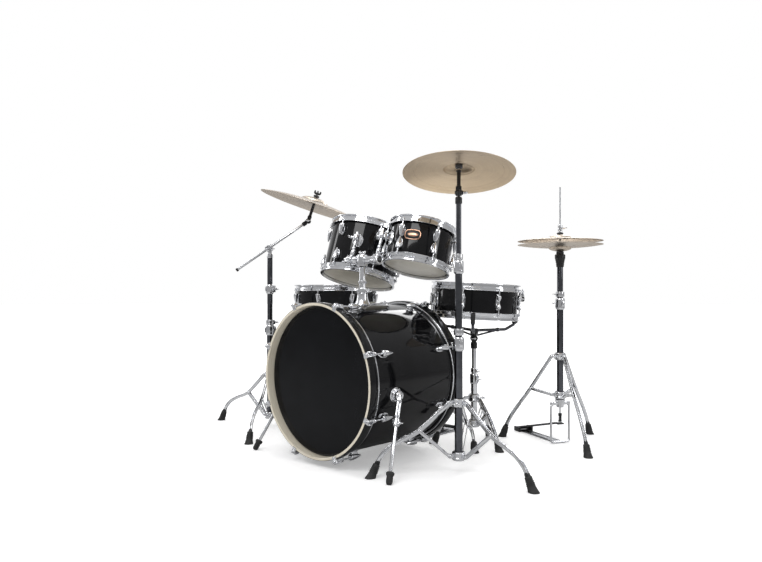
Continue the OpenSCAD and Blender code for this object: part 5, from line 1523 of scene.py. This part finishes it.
# bass drum pedal
PX, PY = -42, HOOP_END
ped_at = place(PX, PY, 0)
s, metal, black = shapes(3)
s.add(moved(plate(soft([(-45.6, 8), (45.6, 8), (45.6, 372), (-45.6, 372)], 9, True), 4.8, 1.0), T(0, 0, 2.5)))
for v in (-30, 0, 30):
    s.add(block(4, 300, 1.6, 0.6), T(v, 200, 5.4))
emit("pedal_base_plate", s, STEEL, "pedal_frame", ped_at)
for v in BOTH:
    post = soft([(-9, 5), (9, 5), (6.6, 60), (6, 120), (7, 150), (-7, 150), (-6, 120), (-6.6, 60)], 3, True,
                3)
    metal.add(moved(plate(post, 9.6, 2.0), T(v * 42, 24, 0) @ R(90, "Z") @ ON_EDGE))
    metal.add(bushing([(5.1, -7), (11.6, -7), (13, -5.4), (13, 5.4), (11.6, 7), (5.1, 7)], 1.0, 56),
              T(v * 42, 24, 168) @ X_LINE)
    metal.add(block(9.6, 15, 22, 2.4), T(v * 42, 24, 150))
for x in (-12, 12):
    metal.add(block(9, 24, 26, 2.6), T(x, 11, 16))
metal.add(block(34, 26, 7, 2.0), T(0, -20, 5))
metal.add(wing_bolt(4, 20), T(0, 18, 24) @ R(-90, "Y"))
emit("pedal_posts", metal, CHROME, "pedal_frame", ped_at)
for v in BOTH:
    black.add(moved(plate(rounded_rect(23, 24, 6), 6.6, 1.4), T(v * 39, 352, 17) @ R(90, "Z") @ ON_EDGE))
emit("pedal_heel_ears", black, CASTING, "pedal_frame", ped_at)
heel_at = place(PX, PY + 352, 18)
s = Shape()
s.add(moved(plate(strip_outline([(4, 2), (152, 38), (300, 74)], 6.4), 62, 1.4), R(-90, "Z") @ ON_EDGE))
for k in range(22):
    d = 14 + k * 12.6
    s.add(block(52, 3.6, 1.8, 0.7), T(0, -d, 5.8 + (d - 4) * 72 / 296) @ R(-13.7, "X"))
s.add(x_rod(34, 7.8, 1.4, 36))
emit("pedal_footboard_plate", s, CASTING, "pedal_footboard", heel_at)
s = Shape()
s.add(x_rod(43, 3.9, 0.5, 24))
emit("pedal_heel_pin", s, CHROME, "pedal_footboard", heel_at)
beat_at = place(PX, PY + 24, 168)
s, felt = shapes(2)
s.add(x_rod(51, 5.0, 0.8, 32))
s.add(turned([(0, -12), (13, -12), (15, -9), (13, -5), (13, 5), (15, 9), (13, 12), (0, 12)], 1.2, 56),
      R(90, "Y"))
lean_back = R(-40, "X")
s.add(z_rod(0, 10, 176, 3.5, 0.6, 24), lean_back)
s.add(block(13, 13, 16, 2.4), lean_back @ T(0, 0, 19))
emit("pedal_beater_shaft", s, CHROME, "pedal_beater", beat_at)
felt.add(turned([(0, 0), (14, 0), (20.5, 5), (22, 14), (22, 38), (20.5, 47), (14, 52), (0, 52)], 4.0, 48,
                False, 4), lean_back @ T(0, 14, 165) @ ON_EDGE)
emit("pedal_beater_felt", felt, WHITE_FELT, "pedal_beater", beat_at, sharp=60)

# snare stand
sn_at = place(212, 456, 0)
tripod_pieces("snare_tripod", "snare_tripod", sn_at, LEGS["snare"], (342, 102, 222), 88, 14.3)
metal, black = shapes(2)
metal.add(tube(14.3, 73, 262))
clamp_parts(metal, black, 256, 298, 19, 9.8, -20)
emit_set("snare_base", "snare_tripod", sn_at, ("_tube", metal, CHROME), ("_bush", black, CASTING))
metal, black = shapes(2)
metal.add(tube(9.6, 150, 419))
lock_parts(metal, 312, 15, 9.6, 20, -20)
emit("snare_tube_body", metal, CHROME, "snare_tube", sn_at)
col_at = place(212, 456, 449) @ R(VIEW_TURN, "Z")
black.add(turned([(0, -7), (13.8, -7), (15, -5.8), (15, 5.8), (13.8, 7), (0, 7)], 0.9, 56), ON_EDGE)
black.add(turned([(0, -44), (12.4, -44), (14, -41), (14, -20), (12, -16.8), (0, -16.8)], 1.4, 56))
black.add(block(20, 12.8, 14, 2.4), T(0, 0, -12))
emit("snare_tilt_joint", black, CASTING, "snare_tube", col_at)
metal = Shape()
metal.add(y_rod(18, 5.0, 0.6, 28))
metal.add(wing_bolt(5, 28), T(0, -16, 0) @ R(-90, "Z"))
emit("snare_tilt_bolt", metal, CHROME, "snare_tube", col_at)
basket_at = col_at @ R(SNARE_TILT, "Y")
black, metal, rubber = shapes(3)
for v in BOTH:
    black.add(bushing([(5.15, -2.9), (14, -2.9), (15, -2), (15, 2), (14, 2.9), (5.15, 2.9)], 0.8, 56),
              T(0, v * 10.5, 0) @ ON_EDGE)
    black.add(block(20, 5.8, 20, 2.0), T(0, v * 10.5, 15))
black.add(turned([(0, 18), (15, 18), (17, 21), (17, 38), (14, 42), (0, 42)], 2.0, 64))
black.add(block(22, 27, 9, 2.4), T(0, 0, 22))
for k in range(3):
    turn = R(20 + 120 * k, "Z")
    metal.add(bent_bar([(12, 0, 34), (150, 0, 42), (192, 0, 66)], 24, 8, 6.4), turn)
    metal.add(rod((15.5, 0, 13), (108, 0, 37), 4.2, 0.8, 16), turn)
    metal.add(ring(9.0, 6.0, -5, 5, 1.2, 32), turn @ T(112, 0, 39.7) @ R(87, "Y"))
    metal.add(block(12, 17, 5, 1.4), turn @ T(193, 0, 69))
    rubber.add(block(20, 18, 6, 2.0), turn @ T(194, 0, 74))
    rubber.add(block(6, 18, 37, 2.0), turn @ T(202, 0, 90.5))
    for z in range(4):
        rubber.add(block(1.6, 15, 3.0, 0.7), turn @ T(198.8, 0, 80 + 7.4 * z))
emit_set("snare_basket", "snare_basket", basket_at, ("_hub", black, CASTING), ("_arms", metal, SMOKE),
         ("_grips", rubber, RUBBER))
